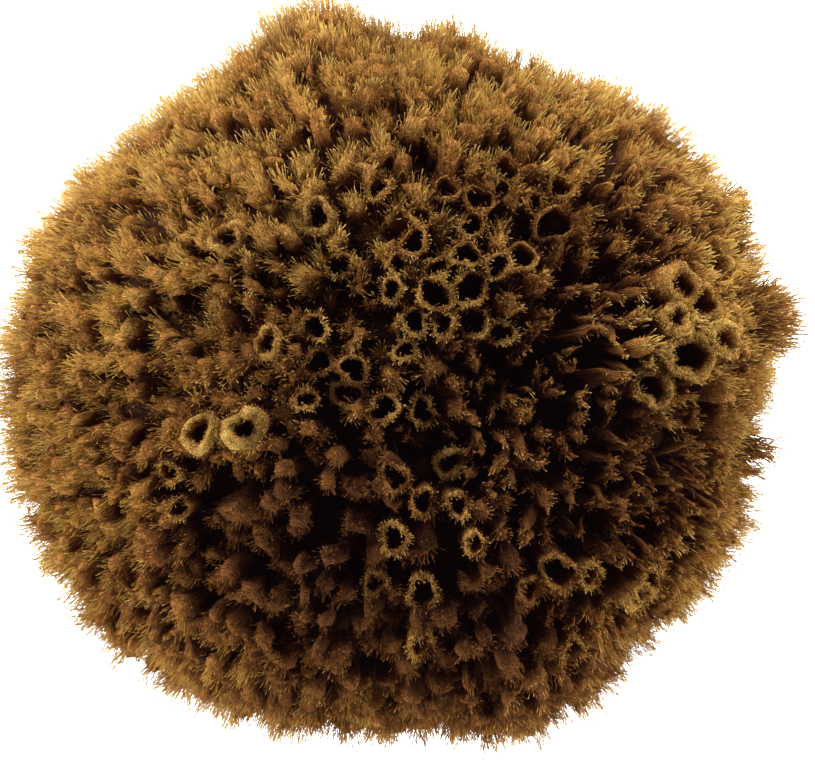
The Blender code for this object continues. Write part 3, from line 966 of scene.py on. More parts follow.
@dataclass
class OutletCluster:
    """The water outlets: tubes with thin walls, each open at the top and painted dark inside as shade.

    The fringed wall's thickness is in mm, as the outlets' radii are.
    """

    skin: Skin
    material: bpy.types.Material
    depth: float = 12 * MM
    sides: int = 20
    overlap: float = 0.25 * MM
    wall: float = 0.45 * MM
    least_bore: float = 0.5 * MM
    widening: float = 1.1
    fringed_wall: float = 0.62
    collar_growth: float = 1.15
    rise_range: Span = Span(-1.0 * MM, 1.6 * MM)
    open_depth: float = 2.5 * MM
    squareness: float = 0.95
    uprightness: float = 0.28
    tilt: float = 0.04
    wobbles: tuple[tuple[int, float], ...] = ((2, 0.17), (3, 0.11), (5, 0.06))
    rim_wobble: float = 0.8
    raggedness: float = 0.42 * MM
    rim_waves: tuple[float, float] = (0.8 * MM, 0.6 * MM)
    rim_depth: float = 2.5 * MM
    neighbourhood: float = 11 * MM
    least_towards: float = 0.05
    seed: int = 5
    tops: Array = field(init=False)
    axes: Array = field(init=False)
    bores: Array = field(init=False)
    rims: Array = field(init=False)
    around: Array = field(init=False)
    uneven: Array = field(init=False)

    def grow(self) -> None:
        """Works out the tubes' places and walls. Neighbours share a wall, and no wall crosses a bore."""
        rng = np.random.default_rng(self.seed)
        count = len(OSCULES)
        x = np.array([o.x for o in OSCULES]) * MM
        y = np.array([o.y for o in OSCULES]) * MM
        ways = self.skin.way_at(x, y)
        rise = self.rise_range.drawn(rng, count)
        sunk = np.array([self.open_depth if o.habit is Habit.OPEN else 0.0 for o in OSCULES])
        axes = self.skin.growth_axis(ways, self.squareness, self.uprightness)
        self.axes = unit(axes + rng.normal(0, self.tilt, (count, 3)))
        self.tops = self.skin.point(ways) + ways * (rise - sunk)[:, None]
        theta = angles_round(self.sides)
        self.around = spokes(*across(self.axes), theta)
        phase = rng.uniform(0, 2 * np.pi, (count, 3))
        wobble = sum(
            size * np.sin(order * theta[None] + phase[:, k : k + 1])
            for k, (order, size) in enumerate(self.wobbles)
        )
        bore = np.array([o.bore * self.widening for o in OSCULES])[:, None] * MM * (1 + wobble)
        rim = np.array([self.rim_of(o) for o in OSCULES])[:, None] * MM * (1 + self.rim_wobble * wobble)
        limit = self.limits(bore.mean(1))
        self.rims = np.minimum(rim, limit + self.overlap)
        self.bores = np.minimum(bore, np.minimum(self.rims, limit) - self.wall)
        self.bores = np.maximum(self.bores, self.least_bore)
        phase = rng.uniform(0, 2 * np.pi, (count, 2))
        self.uneven = rng.normal(0, self.raggedness, (count, self.sides))
        for order, size in enumerate(self.rim_waves, 1):
            self.uneven += size * np.sin(order * theta + phase[:, order - 1 : order])

    def level(self, number: int, turn: Array) -> Array:
        """Heights of one tube's wavy rim over its top, at places round it in sides."""
        low, high, part = between_sides(turn, self.sides)
        return mixed(self.uneven[number, low], self.uneven[number, high], part)

    def rim_of(self, oscule: Oscule) -> float:
        """Rim radius in mm: a thin wall round a fringed mouth, a broad one round any other."""
        if oscule.habit is Habit.FRINGED:
            return oscule.bore * self.widening + self.fringed_wall
        return oscule.rim * self.collar_growth

    def limits(self, bores: Array) -> Array:
        """How far each tube may reach at each side before it meets a neighbour's share.

        Args:
            bores: mean bore radius of each tube.

        Returns:
            Radii by tube and side.
        """
        count = len(self.tops)
        limit = np.full((count, self.sides), 1.0)
        for i in range(count):
            apart = self.tops - self.tops[i]
            apart -= (apart @ self.axes[i])[:, None] * self.axes[i]
            distance = np.linalg.norm(apart, axis=1)
            for j in np.flatnonzero((distance > 0) & (distance < self.neighbourhood)):
                towards = self.around[i] @ (apart[j] / distance[j])
                share = distance[j] / 2 + (bores[i] ** 2 - bores[j] ** 2) / (2 * distance[j])
                meets = towards > self.least_towards
                limit[i, meets] = np.minimum(limit[i, meets], share / towards[meets])
        return limit

    def build(self) -> bpy.types.Object:
        """Makes all the tubes as one piece."""
        rng = np.random.default_rng(self.seed + 1)
        mean = (self.bores + self.rims) / 2
        wall = self.rims - self.bores
        deep = self.depth
        # Height over the top, radius and reach, up the outside and down the bore.
        # The reach paints shade: darker down the outside and down the bore.
        levels = (
            (-deep - 1.5 * MM, self.rims * 1.12, 0.0),
            (-deep * 0.60, self.rims * 1.02, 0.45),
            (-deep * 0.28, self.rims * 0.97, 0.75),
            (-0.8 * MM - 0.3 * wall, self.rims, 0.88),
            (-0.3 * wall, mixed(self.rims, mean, 0.28), 0.90),
            (0.0 * wall, mean, 0.92),
            (-0.3 * wall, mixed(self.bores, mean, 0.28), 0.86),
            (-0.8 * MM - 0.3 * wall, self.bores * 0.97, 0.76),
            (-3.5 * MM, self.bores * 0.93, 0.42),
            (-6.5 * MM, self.bores * 0.88, 0.18),
            (-deep + 1.0 * MM, self.bores * 0.75, 0.02),
        )
        rings, reach = [], []
        for height, radius, value in levels:
            near_top = np.exp(-((height / self.rim_depth) ** 2))
            ragged = rng.normal(1, 0.03, radius.shape)
            ring = self.tops[:, None] + self.around * (radius * ragged)[..., None]
            rings.append(ring + self.axes[:, None] * (height + self.uneven * near_top)[..., None])
            reach.append(np.full(len(self.tops), value))
        below = self.tops - self.axes * (deep + 1.5 * MM)
        floor = self.tops - self.axes * (deep - 0.8 * MM)
        shade = rng.uniform(0, 1, len(self.tops))
        growth = Growth()
        growth.add(*lofts(np.stack(rings, 1), np.stack([below, floor], 1), np.stack(reach, 1), shade))
        return growth.finished("outlet_tubes", self.material, True)


@dataclass(frozen=True)
class TuftCover:
    """How fibres stand on tufts.

    Spans go from felted to open parts, from the lowest to the topmost fibres on a side, or over a
    range that values are drawn from. Lowest goes from soft to hard tufts.
    """

    count: int = 148500
    seed: int = 31
    size_weight: float = 1.8
    flame_weight: float = 0.35
    velvet_weight: float = 0.30
    full_height: float = 48 * MM
    least_weight: float = 0.25
    on_sides: float = 0.70
    lowest: Span = Span(0.55, 0.38)
    highest: float = 0.97
    crowding: float = 0.7
    top: float = 0.975
    wall_inset: float = 0.92
    top_spread: float = 1.1
    flare: Span = Span(0.6, 0.45)
    top_flare: float = 0.42
    open_flare: float = 1.7
    flame_closing: float = 0.6
    along: Span = Span(0.8, 1.0)
    disorder: Span = Span(0.34, 0.20)
    drift: float = 0.35
    drift_pitch: float = 9 * MM
    swept: float = 0.9
    length: Span = Span(1.0 * MM, 2.3 * MM)
    rim_growth: float = 1.0
    velvet_length: float = 0.85
    felted_growth: float = 0.45
    locks: float = 0.65 * MM
    lock_pitch: float = 2.6 * MM
    # Painted shade: fibres darker at the root, and a little lighter than the body at the tip
    root_light: Span = Span(0.86, 0.74)
    brighter: Span = Span(0.12, 0.04)
    most_light: float = 1.1
    light_range: Span = Span(0.9, 1.05)
    # Painted glow of backlight on the fibres towards the rim
    painted_rim_glow: float = 2.2
    thickness: Span = Span(0.7, 1.3)
    blunt: float = 0.55


@dataclass(frozen=True)
class HeartCover:
    """How short fibres stand on the inner body, where it lies near the surface."""

    count: int = 15000
    seed: int = 33
    upwards: float = 0.3
    most_open: float = 0.6
    lowest: float = 6 * MM
    root_depth: float = 0.3 * MM
    disorder: float = 0.45
    length: Span = Span(1.5 * MM, 3.5 * MM)
    thickness: Span = Span(0.9, 1.6)
    # Painted shade: these fibres stand in the gaps, so they are painted dark
    root_light: float = 0.25
    tip_light: float = 0.66
    blunt: float = 0.5


@dataclass(frozen=True)
class MouthCover:
    """How fibres stand on the mouth and outer wall of an outlet, for each habit.

    The count is that on an outlet of 3 mm rim radius. The light is drawn from its span as a random tone,
    or on a collar goes along it with the painted light on the mound.
    """

    count: int
    on_wall: float = 0.4
    wall_inset: float = 0.95
    wall_depth: float = 7 * MM
    wall_crowding: float = 1.3
    wall_lean: float = 0.65
    wall_growth: float = 1.3
    mouth_inset: float = 0.99
    edge_drop: float = 0.3
    root_depth: float = 0.1 * MM
    lean_from: float = 0.2
    lean: float = 1.7
    disorder: float = 0.26
    shortest: float = 0.4 * MM
    longest: float = 1.6 * MM
    light: Span = Span(0.90, 1.08)
    # Painted shade at the roots of the fibres
    root_light: float = 0.78
    thickness: Span = Span(0.65, 1.1)
    blunt: float = 0.4


MOUTH_COVERS = {
    Habit.OPEN: MouthCover(234),
    Habit.FRINGED: MouthCover(390),
    Habit.COLLARED: MouthCover(
        663, on_wall=0.6, wall_growth=2.0, lean_from=0.45, lean=1.3, longest=0.8 * MM, light=Span(0.97, 1.12)
    ),
}


@dataclass
class FibreCoat:
    """Fine pointed fibres over tufts and tubes, three-sided and closed, rooted just under the surface."""

    material: bpy.types.Material
    thickness: float = 0.098 * MM
    roots: list[Array] = field(default_factory=list)
    tips: list[Array] = field(default_factory=list)
    low: list[Array] = field(default_factory=list)
    high: list[Array] = field(default_factory=list)
    shade: list[Array] = field(default_factory=list)
    width: list[Array] = field(default_factory=list)
    largest_piece: int = 48000

    def plant(
        self, blunt: Array, roots: Array, tips: Array, low: Array, high: Array, shade: Array, width: Array
    ) -> None:
        """Adds fibres.

        Args:
            blunt: whether each fibre is thin at its root and blunt at its tip, not pointed.
            roots: where each fibre leaves the surface.
            tips: where each fibre ends.
            low: reach at the root, 0 in the deep gaps to 1 at the tuft tips.
            high: reach at the tip.
            shade: a tone in 0 to 1.
            width: the radius at the thick end.
        """
        self.roots.append(np.where(blunt[:, None], tips, roots))
        self.tips.append(np.where(blunt[:, None], roots, tips))
        self.low.append(np.where(blunt, high, low))
        self.high.append(np.where(blunt, low, high))
        self.shade.append(shade)
        self.width.append(width)

    def cover_tufts(self, tufts: TuftField, cover: TuftCover) -> None:
        """Plants fibres on the tufts, drawn together into locks.

        Args:
            tufts: the field of grown tufts.
            cover: how many fibres there are and how they stand.
        """
        rng = np.random.default_rng(cover.seed)
        count = cover.count
        above = np.clip(tufts.tops[:, 2] / cover.full_height, cover.least_weight, 1.0)
        weight = 1 + cover.flame_weight * tufts.flame + cover.velvet_weight * tufts.velvet
        weight = tufts.radius**cover.size_weight * above * weight
        owner = rng.choice(len(weight), count, p=weight / weight.sum())
        flame, velvet = tufts.flame[owner], tufts.velvet[owner]
        open_share, rimward = tufts.open_share[owner], tufts.rimward[owner]
        on_side = rng.random(count) < cover.on_sides
        on_wall = mixed(cover.lowest.at(flame), cover.highest, rng.random(count) ** cover.crowding)
        height = np.where(on_side, on_wall, cover.top)
        turn = rng.random(count) * tufts.sides
        centre, surface = self.places_on(tufts, owner, height, turn)
        inward = np.where(on_side, cover.wall_inset, cover.top_spread * np.sqrt(rng.random(count)))
        roots = centre + (surface - centre) * inward[:, None]
        outward = unit(surface - centre)
        topness = np.clip((height - cover.lowest.start) / (cover.highest - cover.lowest.start), 0, 1)
        flare = np.where(on_side, cover.flare.at(topness), cover.top_flare * inward)
        flare = flare * mixed(1.0, cover.open_flare, open_share) * (1 - cover.flame_closing * flame)
        spread = rng.normal(0, 1, (count, 3)) * cover.disorder.at(open_share)[:, None]
        spread += flutter(roots, cover.drift_pitch, cover.drift, cover.seed + 2)
        downhill = tufts.ways[owner] * np.array([1.0, 1.0, 0.0])
        swept = downhill * (cover.swept * (1 - open_share))[:, None]
        way = tufts.axes[owner] * cover.along.at(topness)[:, None] + outward * flare[:, None]
        way = unit(way + spread + swept)
        longer = (1 + cover.rim_growth * rimward**2) * mixed(1.0, cover.velvet_length, velvet)
        longer = longer * (1 + cover.felted_growth * (1 - open_share))
        length = cover.length.drawn(rng, count) * longer
        locks = flutter(roots, cover.lock_pitch, cover.locks, cover.seed + 1)
        tips = roots + way * length[:, None] + locks
        # Painted shade: darker at the root and down the tuft, lighter at the tip
        lightness = tufts.lightness(height, owner)
        low = cover.root_light.at(open_share) * lightness
        high = np.clip(lightness + cover.brighter.at(open_share), 0, cover.most_light)
        high = high * cover.light_range.drawn(rng, count)
        # A random tone, raised by a painted glow of backlight towards the rim
        shade = (tufts.shade[owner] + rng.random(count)) / 2 + cover.painted_rim_glow * rimward**2
        width = self.thickness * cover.thickness.drawn(rng, count)
        self.plant(rng.random(count) < cover.blunt, roots, tips, low, high, shade, width)

    def places_on(self, tufts: TuftField, owner: Array, height: Array, turn: Array) -> tuple[Array, Array]:
        """Places on the walls of tufts.

        Args:
            tufts: the field of grown tufts.
            owner: the number of each place's tuft.
            height: how far up the tuft it is, as a share.
            turn: how far round the tuft it is, in sides.

        Returns:
            The point in the middle of the tuft at that height, and the point on its wall.
        """
        heights = np.array(tufts.heights)
        level = np.clip(np.searchsorted(heights, height) - 1, 0, len(heights) - 2)
        share = ((height - heights[level]) / (heights[level + 1] - heights[level]))[:, None]
        side_low, side_high, part = between_sides(turn, tufts.sides)
        lower, upper = (
            mixed(tufts.rings[owner, row, side_low], tufts.rings[owner, row, side_high], part[:, None])
            for row in (level, level + 1)
        )
        centre = mixed(tufts.centres[owner, level], tufts.centres[owner, level + 1], share)
        return centre, mixed(lower, upper, share)

    def cover_heart(self, heart: Heart, cover: HeartCover) -> None:
        """Plants short fibres on the inner body where the tufts are felted together.

        Args:
            heart: the inner body.
            cover: how the fibres stand, and how many are tried. Those under open tufts are left out.
        """
        rng = np.random.default_rng(cover.seed)
        ways = unit(rng.normal(0, 1, (cover.count, 3)) + np.array([0.0, 0.0, cover.upwards]))
        points, open_share = heart.surface(ways)
        kept = (open_share < cover.most_open) & (points[:, 2] > cover.lowest)
        points, ways = points[kept] - ways[kept] * cover.root_depth, ways[kept]
        count = len(points)
        way = unit(ways + rng.normal(0, cover.disorder, (count, 3)))
        tips = points + way * cover.length.drawn(rng, count)[:, None]
        width = self.thickness * cover.thickness.drawn(rng, count)
        low, high = np.full(count, cover.root_light), np.full(count, cover.tip_light)
        self.plant(rng.random(count) < cover.blunt, points, tips, low, high, rng.random(count), width)

    def fringe_outlets(self, outlets: OutletCluster, seed: int) -> None:
        """Plants the crowns of fibre round the outlets, and the coat on their walls.

        Args:
            outlets: the grown tubes.
            seed: start of the chance used.
        """
        rng = np.random.default_rng(seed)
        for number, oscule in enumerate(OSCULES):
            self.fringe(outlets, number, oscule, MOUTH_COVERS[oscule.habit], rng)

    def fringe(
        self, outlets: OutletCluster, number: int, oscule: Oscule, cover: MouthCover, rng: np.random.Generator
    ) -> None:
        """Plants the fibres of one outlet.

        Args:
            outlets: the grown tubes.
            number: the number of its tube.
            oscule: the outlet.
            cover: how its fibres stand.
            rng: the generator of all chance here.
        """
        count = int(cover.count * (oscule.rim / 3.0))
        turn = rng.random(count) * outlets.sides
        low, high, part = between_sides(turn, outlets.sides)
        around, bores, rims = outlets.around[number], outlets.bores[number], outlets.rims[number]
        outward = unit(mixed(around[low], around[high], part[:, None]))
        bore, rim = mixed(bores[low], bores[high], part), mixed(rims[low], rims[high], part)
        on_wall = rng.random(count) < cover.on_wall
        across_rim = rng.random(count)
        radius = np.where(on_wall, rim * cover.wall_inset, mixed(bore, rim, across_rim) * cover.mouth_inset)
        edge = (2 * across_rim - 1) ** 2
        rim_height = outlets.level(number, turn) - cover.edge_drop * (rim - bore) * edge - cover.root_depth
        wall_height = -rng.random(count) ** cover.wall_crowding * cover.wall_depth
        height = np.where(on_wall, wall_height, rim_height)
        axis = outlets.axes[number]
        roots = outlets.tops[number] + outward * radius[:, None] + axis * height[:, None]
        lean = np.where(on_wall, cover.wall_lean, (across_rim - cover.lean_from) * cover.lean)
        way = unit(axis + outward * lean[:, None] + rng.normal(0, cover.disorder, (count, 3)))
        length = rng.uniform(cover.shortest, cover.longest, count)
        length = length * np.where(on_wall, cover.wall_growth, 1.0)
        tips = roots + way * length[:, None]
        shade = rng.random(count)
        width = self.thickness * cover.thickness.drawn(rng, count)
        # A random tone for each mouth; on a collar it goes with the painted light on the mound
        if oscule.habit is Habit.COLLARED:
            mouth_tone_and_painted_light = cover.light.at(outlets.skin.painted_light(outlets.tops[number]))
        else:
            mouth_tone_and_painted_light = cover.light.drawn(rng, 1)
        # Painted shade: darker down the outer wall
        light = np.clip(1 + height / outlets.depth, 0, 1) * mouth_tone_and_painted_light
        blunt = rng.random(count) < cover.blunt
        self.plant(blunt, roots, tips, light * cover.root_light, light, shade, width)

    def build(self) -> list[bpy.types.Object]:
        """Makes the planted fibres, in pieces small enough to store."""
        roots, tips = np.concatenate(self.roots), np.concatenate(self.tips)
        low, high = np.concatenate(self.low), np.concatenate(self.high)
        shade, width = np.concatenate(self.shade), np.concatenate(self.width)
        order = np.argsort(np.arctan2(roots[:, 1], roots[:, 0]), kind="stable")
        made = []
        shares = np.array_split(order, math.ceil(len(order) / self.largest_piece))
        for number, chosen in enumerate(shares, 1):
            growth = Growth()
            growth.add(*self.spikes(*(a[chosen] for a in (roots, tips, low, high, shade, width))))
            made.append(growth.finished(f"fibres_{number}", self.material, False))
        return made

    def spikes(
        self, roots: Array, tips: Array, low: Array, high: Array, shade: Array, width: Array
    ) -> tuple[Array, ...]:
        """Three-sided closed spikes.

        Args:
            roots: the middle of each thick end.
            tips: where each ends in a point.
            low: reach at the root.
            high: reach at the tip.
            shade: a tone for each.
            width: the radius at the root.

        Returns:
            Points, triangles, map places, reach, shade and comb, as Growth.add takes them.
        """
        count = len(roots)
        spread = spokes(*across(unit(tips - roots)), angles_round(3))
        ring = roots[:, None] + width[:, None, None] * spread
        points = np.concatenate([ring, tips[:, None]], 1).reshape(-1, 3)
        faces = np.array([[0, 1, 3], [1, 2, 3], [2, 0, 3], [2, 1, 0]])
        triangles = (faces[None] + 4 * np.arange(count)[:, None, None]).reshape(-1, 3)
        on_side = ((0.1, 0.1), (0.9, 0.1), (0.5, 0.9))
        on_base = ((0.1, 0.1), (0.9, 0.1), (0.5, 0.3))
        corner, cell = cells(count)
        places = corner[:, None, None] + np.array((on_side, on_side, on_side, on_base))[None] * cell
        reach = np.stack([low, low, low, high], 1).ravel()
        return points, triangles, places.reshape(-1, 3, 2), reach, np.repeat(shade, 4), points / GRAIN_SIZE


@dataclass
class RimBrush:
    """Coarse curly strands that stick out of the rim in clusters."""

    skin: Skin
    material: bpy.types.Material
    strands: int = 28
    steps: int = 7
    sunk: float = 7 * MM
    thickness: float = 0.24 * MM
    thickness_range: Span = Span(0.6, 1.2)
    thinning: float = 0.55
    lift: Span = Span(-0.25, 0.40)
    fanning: float = 0.16
    disorder: float = 0.20
    root_spread: float = 0.9 * MM
    reach_range: Span = Span(0.3, 0.75)
    turns: Span = Span(5.0, 11.0)
    swing: float = 0.9 * MM
    swing_range: Span = Span(0.3, 1.0)
    tip_height: float = 0.3 * MM
    # Painted shade: the strands are darker at the root, where they leave the tufts
    light: Span = Span(0.45, 0.95)
    seed: int = 41

    def build(self) -> bpy.types.Object:
        """Makes all the strands of BRUSHES as one piece."""
        rng = np.random.default_rng(self.seed)
        growth = Growth()
        for brush in BRUSHES:
            self.add_strands(growth, brush, rng)
        return growth.finished("rim_brush", self.material, True)

    def add_strands(self, growth: Growth, brush: Brush, rng: np.random.Generator) -> None:
        """Adds one brush.

        Args:
            growth: the mesh that takes its strands.
            brush: where it is, and how far it reaches.
            rng: the generator of all chance here.
        """
        steps = np.linspace(0, 1, self.steps)[None]
        bearing = np.radians(rng.uniform(brush.start, brush.end, brush.clusters))
        lift = self.lift.drawn(rng, brush.clusters)
        ways = unit(np.stack([np.cos(bearing), np.sin(bearing), lift], -1))
        heads = self.skin.point(ways, self.sunk)
        axes = unit(ways + rng.normal(0, self.fanning, ways.shape))
        owner = np.repeat(np.arange(brush.clusters), self.strands)
        count = len(owner)
        starts = heads[owner] + rng.normal(0, self.root_spread, (count, 3))
        way = unit(axes[owner] + rng.normal(0, self.disorder, (count, 3)))
        length = self.sunk + brush.reach * MM * self.reach_range.drawn(rng, count)
        side, up = across(way)
        curl = steps * self.turns.drawn(rng, count)[:, None] + rng.uniform(0, 6, count)[:, None]
        swing = self.swing * steps * self.swing_range.drawn(rng, count)[:, None]
        path = starts[:, None] + way[:, None] * (length[:, None] * steps)[..., None]
        path += spokes(side, up, curl) * swing[..., None]
        radius = self.thickness * self.thickness_range.drawn(rng, count)[:, None]
        radius = radius * (1 - self.thinning * steps)
        ring = spokes(side, up, angles_round(3))
        rings = path[:, :, None] + ring[:, None] * radius[..., None, None]
        ends = np.stack([path[:, 0], path[:, -1] + way * self.tip_height], 1)
        reach = np.repeat(self.light.at(steps), count, 0)
        growth.add(*lofts(rings, ends, reach, rng.uniform(0, 1.5, count)))


class Wire:
    """A socket that takes part in arithmetic, and so adds the Math nodes that work it out."""

    def __init__(self, board: "Board", socket: bpy.types.NodeSocket) -> None:
        """Keeps the socket and the board that its nodes go on."""
        self.board = board
        self.socket = socket

    def maths(self, operation: str, first: "Wire | float", second: "Wire | float") -> "Wire":
        """The result of one Math node on two values."""
        return self.board.node("ShaderNodeMath", {"operation": operation}, {0: first, 1: second})

    def __add__(self, other: "Wire | float") -> "Wire":
        """Sum."""
        return self.maths("ADD", self, other)

    def __radd__(self, other: "Wire | float") -> "Wire":
        """Sum, with the wire on the right."""
        return self.maths("ADD", other, self)

    def __sub__(self, other: "Wire | float") -> "Wire":
        """Difference."""
        return self.maths("SUBTRACT", self, other)

    def __rsub__(self, other: "Wire | float") -> "Wire":
        """Difference, with the wire on the right."""
        return self.maths("SUBTRACT", other, self)

    def __mul__(self, other: "Wire | float") -> "Wire":
        """Product."""
        return self.maths("MULTIPLY", self, other)

    def __rmul__(self, other: "Wire | float") -> "Wire":
        """Product, with the wire on the right."""
        return self.maths("MULTIPLY", other, self)

    def clipped(self) -> "Wire":
        """The value kept in 0 to 1."""
        return self.board.node("ShaderNodeClamp", {}, {0: self})


class Board:
    """A material's node tree, filled through one method."""

    def __init__(self, name: str) -> None:
        """Makes an empty material of this name."""
        self.material = bpy.data.materials.new(name)
        self.material.use_nodes = True
        self.tree = self.material.node_tree
        self.tree.nodes.clear()

    def node(self, kind: str, settings: dict, inputs: dict, output: int | str = 0) -> Wire:
        """Adds a node.

        Args:
            kind: the node's type.
            settings: attributes of the node, set first; "stops" sets a ramp's colour stops.
            inputs: socket names or numbers, each with a value or a Wire.
            output: which output the returned wire is on.

        Returns:
            A wire on that output.
        """
        made = self.tree.nodes.new(kind)
        for name, value in settings.items():
            if name == "stops":
                self.stops(made.color_ramp, value)
            else:
                setattr(made, name, value)
        for key, value in inputs.items():
            if isinstance(value, Wire):
                self.tree.links.new(value.socket, made.inputs[key])
            else:
                made.inputs[key].default_value = value
        return Wire(self, made.outputs[output]) if made.outputs else Wire(self, None)

    def stops(self, ramp: bpy.types.ColorRamp, stops: tuple) -> None:
        """Gives a ramp its colour stops.

        Args:
            ramp: the ramp.
            stops: pairs of a position and a colour.
        """
        while len(ramp.elements) < len(stops):
            ramp.elements.new(1.0)
        for element, (position, colour) in zip(ramp.elements, stops):
            element.position = position
            element.color = (*colour, 1.0)

    def value_of(self, name: str, output: str = "Fac") -> Wire:
        """A per-point value that the mesh holds."""
        settings = {"attribute_type": "GEOMETRY", "attribute_name": name}
        return self.node("ShaderNodeAttribute", settings, {}, output)

    def noise(self, at: Wire, scale: float, **more: float) -> Wire:
        """Irregular values of about this many waves a metre, or a unit of the places."""
        return self.node("ShaderNodeTexNoise", {}, {"Vector": at, "Scale": scale, **more}, "Fac")

    def mix(self, share: Wire | float, low: Wire | tuple, high: Wire | tuple, way: str = "MIX") -> Wire:
        """A colour between two, or one worked on by the other.

        Args:
            share: how far to go from the low colour to the high one.
            low: the first colour.
            high: the second colour.
            way: how they are mixed.

        Returns:
            The mixed colour.
        """
        settings = {"data_type": "RGBA", "blend_type": way}
        return self.node("ShaderNodeMix", settings, {0: share, 6: low, 7: high}, 2)


@dataclass(frozen=True)
class SpongeFinish:
    """Dry golden-brown sponge fibre, with painted shade dark and red-brown in the gaps.

    The tips are pale: a random paler tone, and a painted glow of backlight towards the rim.
    """

    name: str
    # The colours along the reach: painted shade in the deep gaps, up to the lit tips
    deep: tuple[float, float, float] = (0.036, 0.014, 0.009)
    shadow: tuple[float, float, float] = (0.086, 0.033, 0.011)
    middle: tuple[float, float, float] = (0.246, 0.105, 0.024)
    tip: tuple[float, float, float] = (0.470, 0.332, 0.096)
    pale: tuple[float, float, float] = (0.820, 0.680, 0.340)
    # Painted glow, so the deepest gaps are not black; the felt gives no light
    painted_gap_glow: tuple[float, float, float] = (0.0032, 0.0013, 0.0018)
    dark_patch: tuple[float, float, float] = (0.55, 0.40, 0.25)
    light_patch: tuple[float, float, float] = (1.25, 1.15, 1.0)
    steps: tuple[float, ...] = (0.0, 0.60, 0.86, 1.0)
    patch_scale: float = 55.0
    patch_depth: float = 0.25
    patch_tint: float = 0.35
    grain_scale: float = 1700.0
    grain_share: float = 0.4
    glow: float = 0.34
    # How much pale is mixed in at the tips by shade: a random tone and a painted rim glow
    pale_tone_and_rim_glow: float = 0.0
    grain: float = 0.90
    bump: float = 1.0

    def made(self) -> bpy.types.Material:
        """Builds the material."""
        board = Board(self.name)
        at = board.node("ShaderNodeTexCoord", {}, {}, "Object")
        reach = board.value_of("reach")
        shade = board.value_of("shade")
        patches = board.noise(at, self.patch_scale, Detail=2.0)
        grain = board.noise(at, self.grain_scale, Detail=3.0, Roughness=0.7)
        strands = board.noise(board.value_of("comb", "Vector"), 1.0, Detail=2.0)
        height = grain * self.grain_share + strands * (1 - self.grain_share)
        # The reach brings painted shade and light; patches and grain add the felt's own tone
        level = reach + (patches - 0.5) * self.patch_depth + (height - 0.5) * self.grain
        stops = tuple(zip(self.steps, (self.deep, self.shadow, self.middle, self.tip)))
        colour = board.node("ShaderNodeValToRGB", {"stops": stops}, {0: level.clipped()}, "Color")
        # Pale tips: a random tone and a painted glow of backlight towards the rim
        tipness = reach * reach * reach * reach
        paler = board.mix((self.pale_tone_and_rim_glow * shade * tipness).clipped(), colour, (*self.pale, 1.0))
        tint = board.mix(patches, (*self.dark_patch, 1.0), (*self.light_patch, 1.0))
        toned = board.mix(self.patch_tint, paler, tint, "MULTIPLY")
        relief = {"Strength": self.bump, "Distance": 1.0 * MM, "Height": height}
        tilt = board.node("ShaderNodeBump", {}, relief, "Normal")
        surface = {
            "Base Color": toned,
            "Roughness": 0.92,
            "Specular IOR Level": 0.04,
            "Normal": tilt,
            # Painted glow of the gaps
            "Emission Color": (*self.painted_gap_glow, 1.0),
            "Emission Strength": 1.0,
        }
        skin = board.node("ShaderNodeBsdfPrincipled", {}, surface, "BSDF")
        light = board.node("ShaderNodeBsdfTranslucent", {}, {"Color": toned, "Normal": tilt}, "BSDF")
        both = board.node("ShaderNodeMixShader", {}, {0: self.glow, 1: skin, 2: light}, 0)
        board.node("ShaderNodeOutputMaterial", {}, {"Surface": both})
        return board.material


@dataclass(frozen=True)
class PaperFinish:
    """White studio paper, lit through a little."""

    brightness: float = 1.7

    def made(self) -> bpy.types.Material:
        """Builds the material."""
        board = Board("studio_paper")
        at = board.node("ShaderNodeTexCoord", {}, {}, "Object")
        tooth = board.noise(at, 900.0)
        tilt = board.node("ShaderNodeBump", {}, {"Strength": 0.05, "Height": tooth}, "Normal")
        surface = {
            "Base Color": (0.93, 0.93, 0.93, 1),
            "Roughness": 0.9,
            "Normal": tilt,
            "Emission Color": (1, 1, 1, 1),
            "Emission Strength": self.brightness,
        }
        paper = board.node("ShaderNodeBsdfPrincipled", {}, surface, "BSDF")
        board.node("ShaderNodeOutputMaterial", {}, {"Surface": paper})
        return board.material


@dataclass(frozen=True)
class Lamp:
    """A square soft light: bearing from +X and height in degrees, watts, distance and side in metres."""

    name: str
    bearing: float
    height: float
    power: float
    away: float = 0.62
    size: float = 0.30


LAMPS = (
    Lamp("left", 190, 11, 13.3),
    Lamp("far", 85, 12, 12.0),
    Lamp("right", 5, 13, 9.0),
    Lamp("near", 305, 10, 3.8),
    Lamp("low", 268, 4, 2.6, size=0.20),
    Lamp("key", 135, 24, 7.4, away=0.70, size=0.36),
)


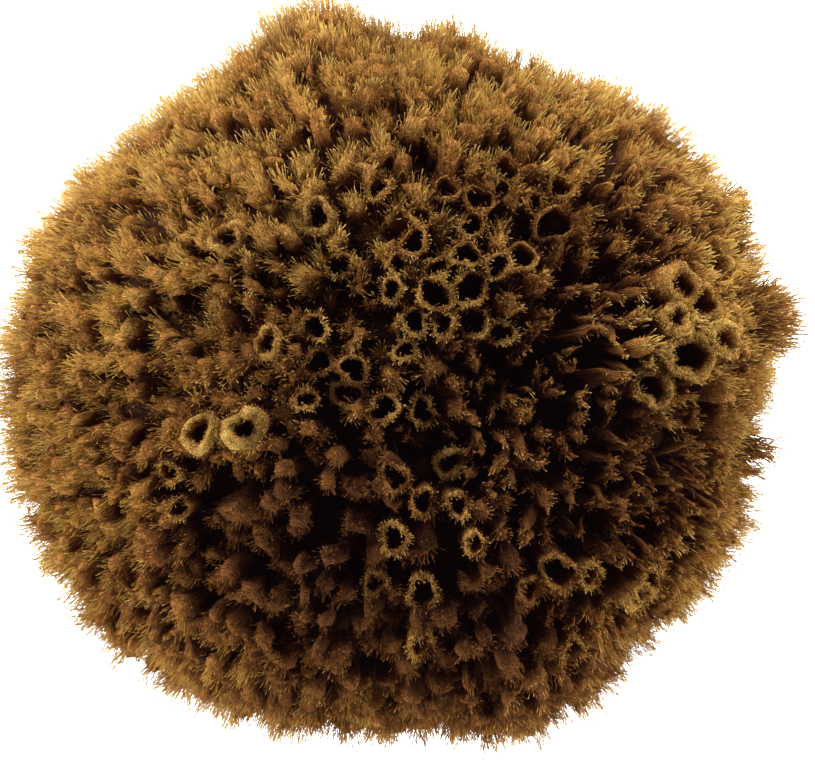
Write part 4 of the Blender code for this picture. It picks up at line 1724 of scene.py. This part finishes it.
@dataclass
class Studio:
    """The white floor, the low soft lights round the sponge and the camera straight above it."""

    middle: tuple[float, float, float] = (0.0005, -0.0009, 0.045)
    lens: float = 250.0
    camera_height: float = 1.177
    floor_half: float = 3.0
    floor_gap: float = 0.2 * MM
    lamp_colour: tuple[float, float, float] = (1.0, 1.0, 0.97)
    air_colour: tuple[float, float, float] = (0.96, 0.84, 0.86)
    air_strength: float = 0.075

    def build(self) -> None:
        """Makes floor, lights, world and camera."""
        self.floor()
        for lamp in LAMPS:
            self.light(lamp)
        self.world()
        self.camera()

    def floor(self) -> None:
        """A wide sheet of white paper under the cut base."""
        mesh = bpy.data.meshes.new("studio_floor")
        shape = bmesh.new()
        bmesh.ops.create_grid(shape, x_segments=8, y_segments=8, size=self.floor_half)
        shape.to_mesh(mesh)
        shape.free()
        mesh.materials.append(PaperFinish().made())
        floor = bpy.data.objects.new("studio_floor", mesh)
        floor.location = (0, 0, -self.floor_gap)
        bpy.context.scene.collection.objects.link(floor)

    def light(self, lamp: Lamp) -> None:
        """Sets up a lamp so that it faces the sponge."""
        data = bpy.data.lights.new(f"light_{lamp.name}", "AREA")
        data.shape = "SQUARE"
        data.size = lamp.size
        data.energy = lamp.power
        data.color = self.lamp_colour
        obj = bpy.data.objects.new(f"light_{lamp.name}", data)
        turn, lift = math.radians(lamp.bearing), math.radians(lamp.height)
        way = Vector((math.cos(turn) * math.cos(lift), math.sin(turn) * math.cos(lift), math.sin(lift)))
        obj.location = Vector(self.middle) + way * lamp.away
        obj.rotation_euler = way.to_track_quat("Z", "Y").to_euler()
        bpy.context.scene.collection.objects.link(obj)

    def world(self) -> None:
        """A weak even light from all round."""
        world = bpy.data.worlds.new("studio_air")
        world.use_nodes = True
        sky = world.node_tree.nodes["Background"]
        sky.inputs["Color"].default_value = (*self.air_colour, 1.0)
        sky.inputs["Strength"].default_value = self.air_strength
        bpy.context.scene.world = world

    def camera(self) -> None:
        """A long lens straight above, with +Y at the top of the picture."""
        data = bpy.data.cameras.new("camera")
        data.lens = self.lens
        data.clip_start = 0.05
        data.clip_end = 20.0
        camera = bpy.data.objects.new("camera", data)
        camera.location = (self.middle[0], self.middle[1], self.camera_height)
        bpy.context.scene.collection.objects.link(camera)
        bpy.context.scene.camera = camera
        bpy.context.scene.view_settings.view_transform = "Standard"


def main() -> None:
    """Builds the sponge and its studio."""
    logging.basicConfig(level=logging.INFO, format="%(message)s")
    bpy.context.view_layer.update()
    skin = Skin()
    body_finish = SpongeFinish("sponge_felt").made()
    # The fibres' tips are paled by a random tone and a painted rim glow
    fibre_finish = SpongeFinish("sponge_fibres", grain=0.12, bump=0.0, glow=0.55, pale_tone_and_rim_glow=0.11).made()
    heart = Heart(skin, body_finish)
    heart.build()
    tufts = TuftField(skin, body_finish)
    tufts.grow()
    tufts.build()
    outlets = OutletCluster(skin, body_finish)
    outlets.grow()
    outlets.build()
    coat = FibreCoat(fibre_finish)
    coat.cover_tufts(tufts, TuftCover())
    coat.cover_heart(heart, HeartCover())
    coat.fringe_outlets(outlets, seed=32)
    coat.build()
    RimBrush(skin, fibre_finish).build()
    Studio().build()


if __name__ == "__main__":
    main()
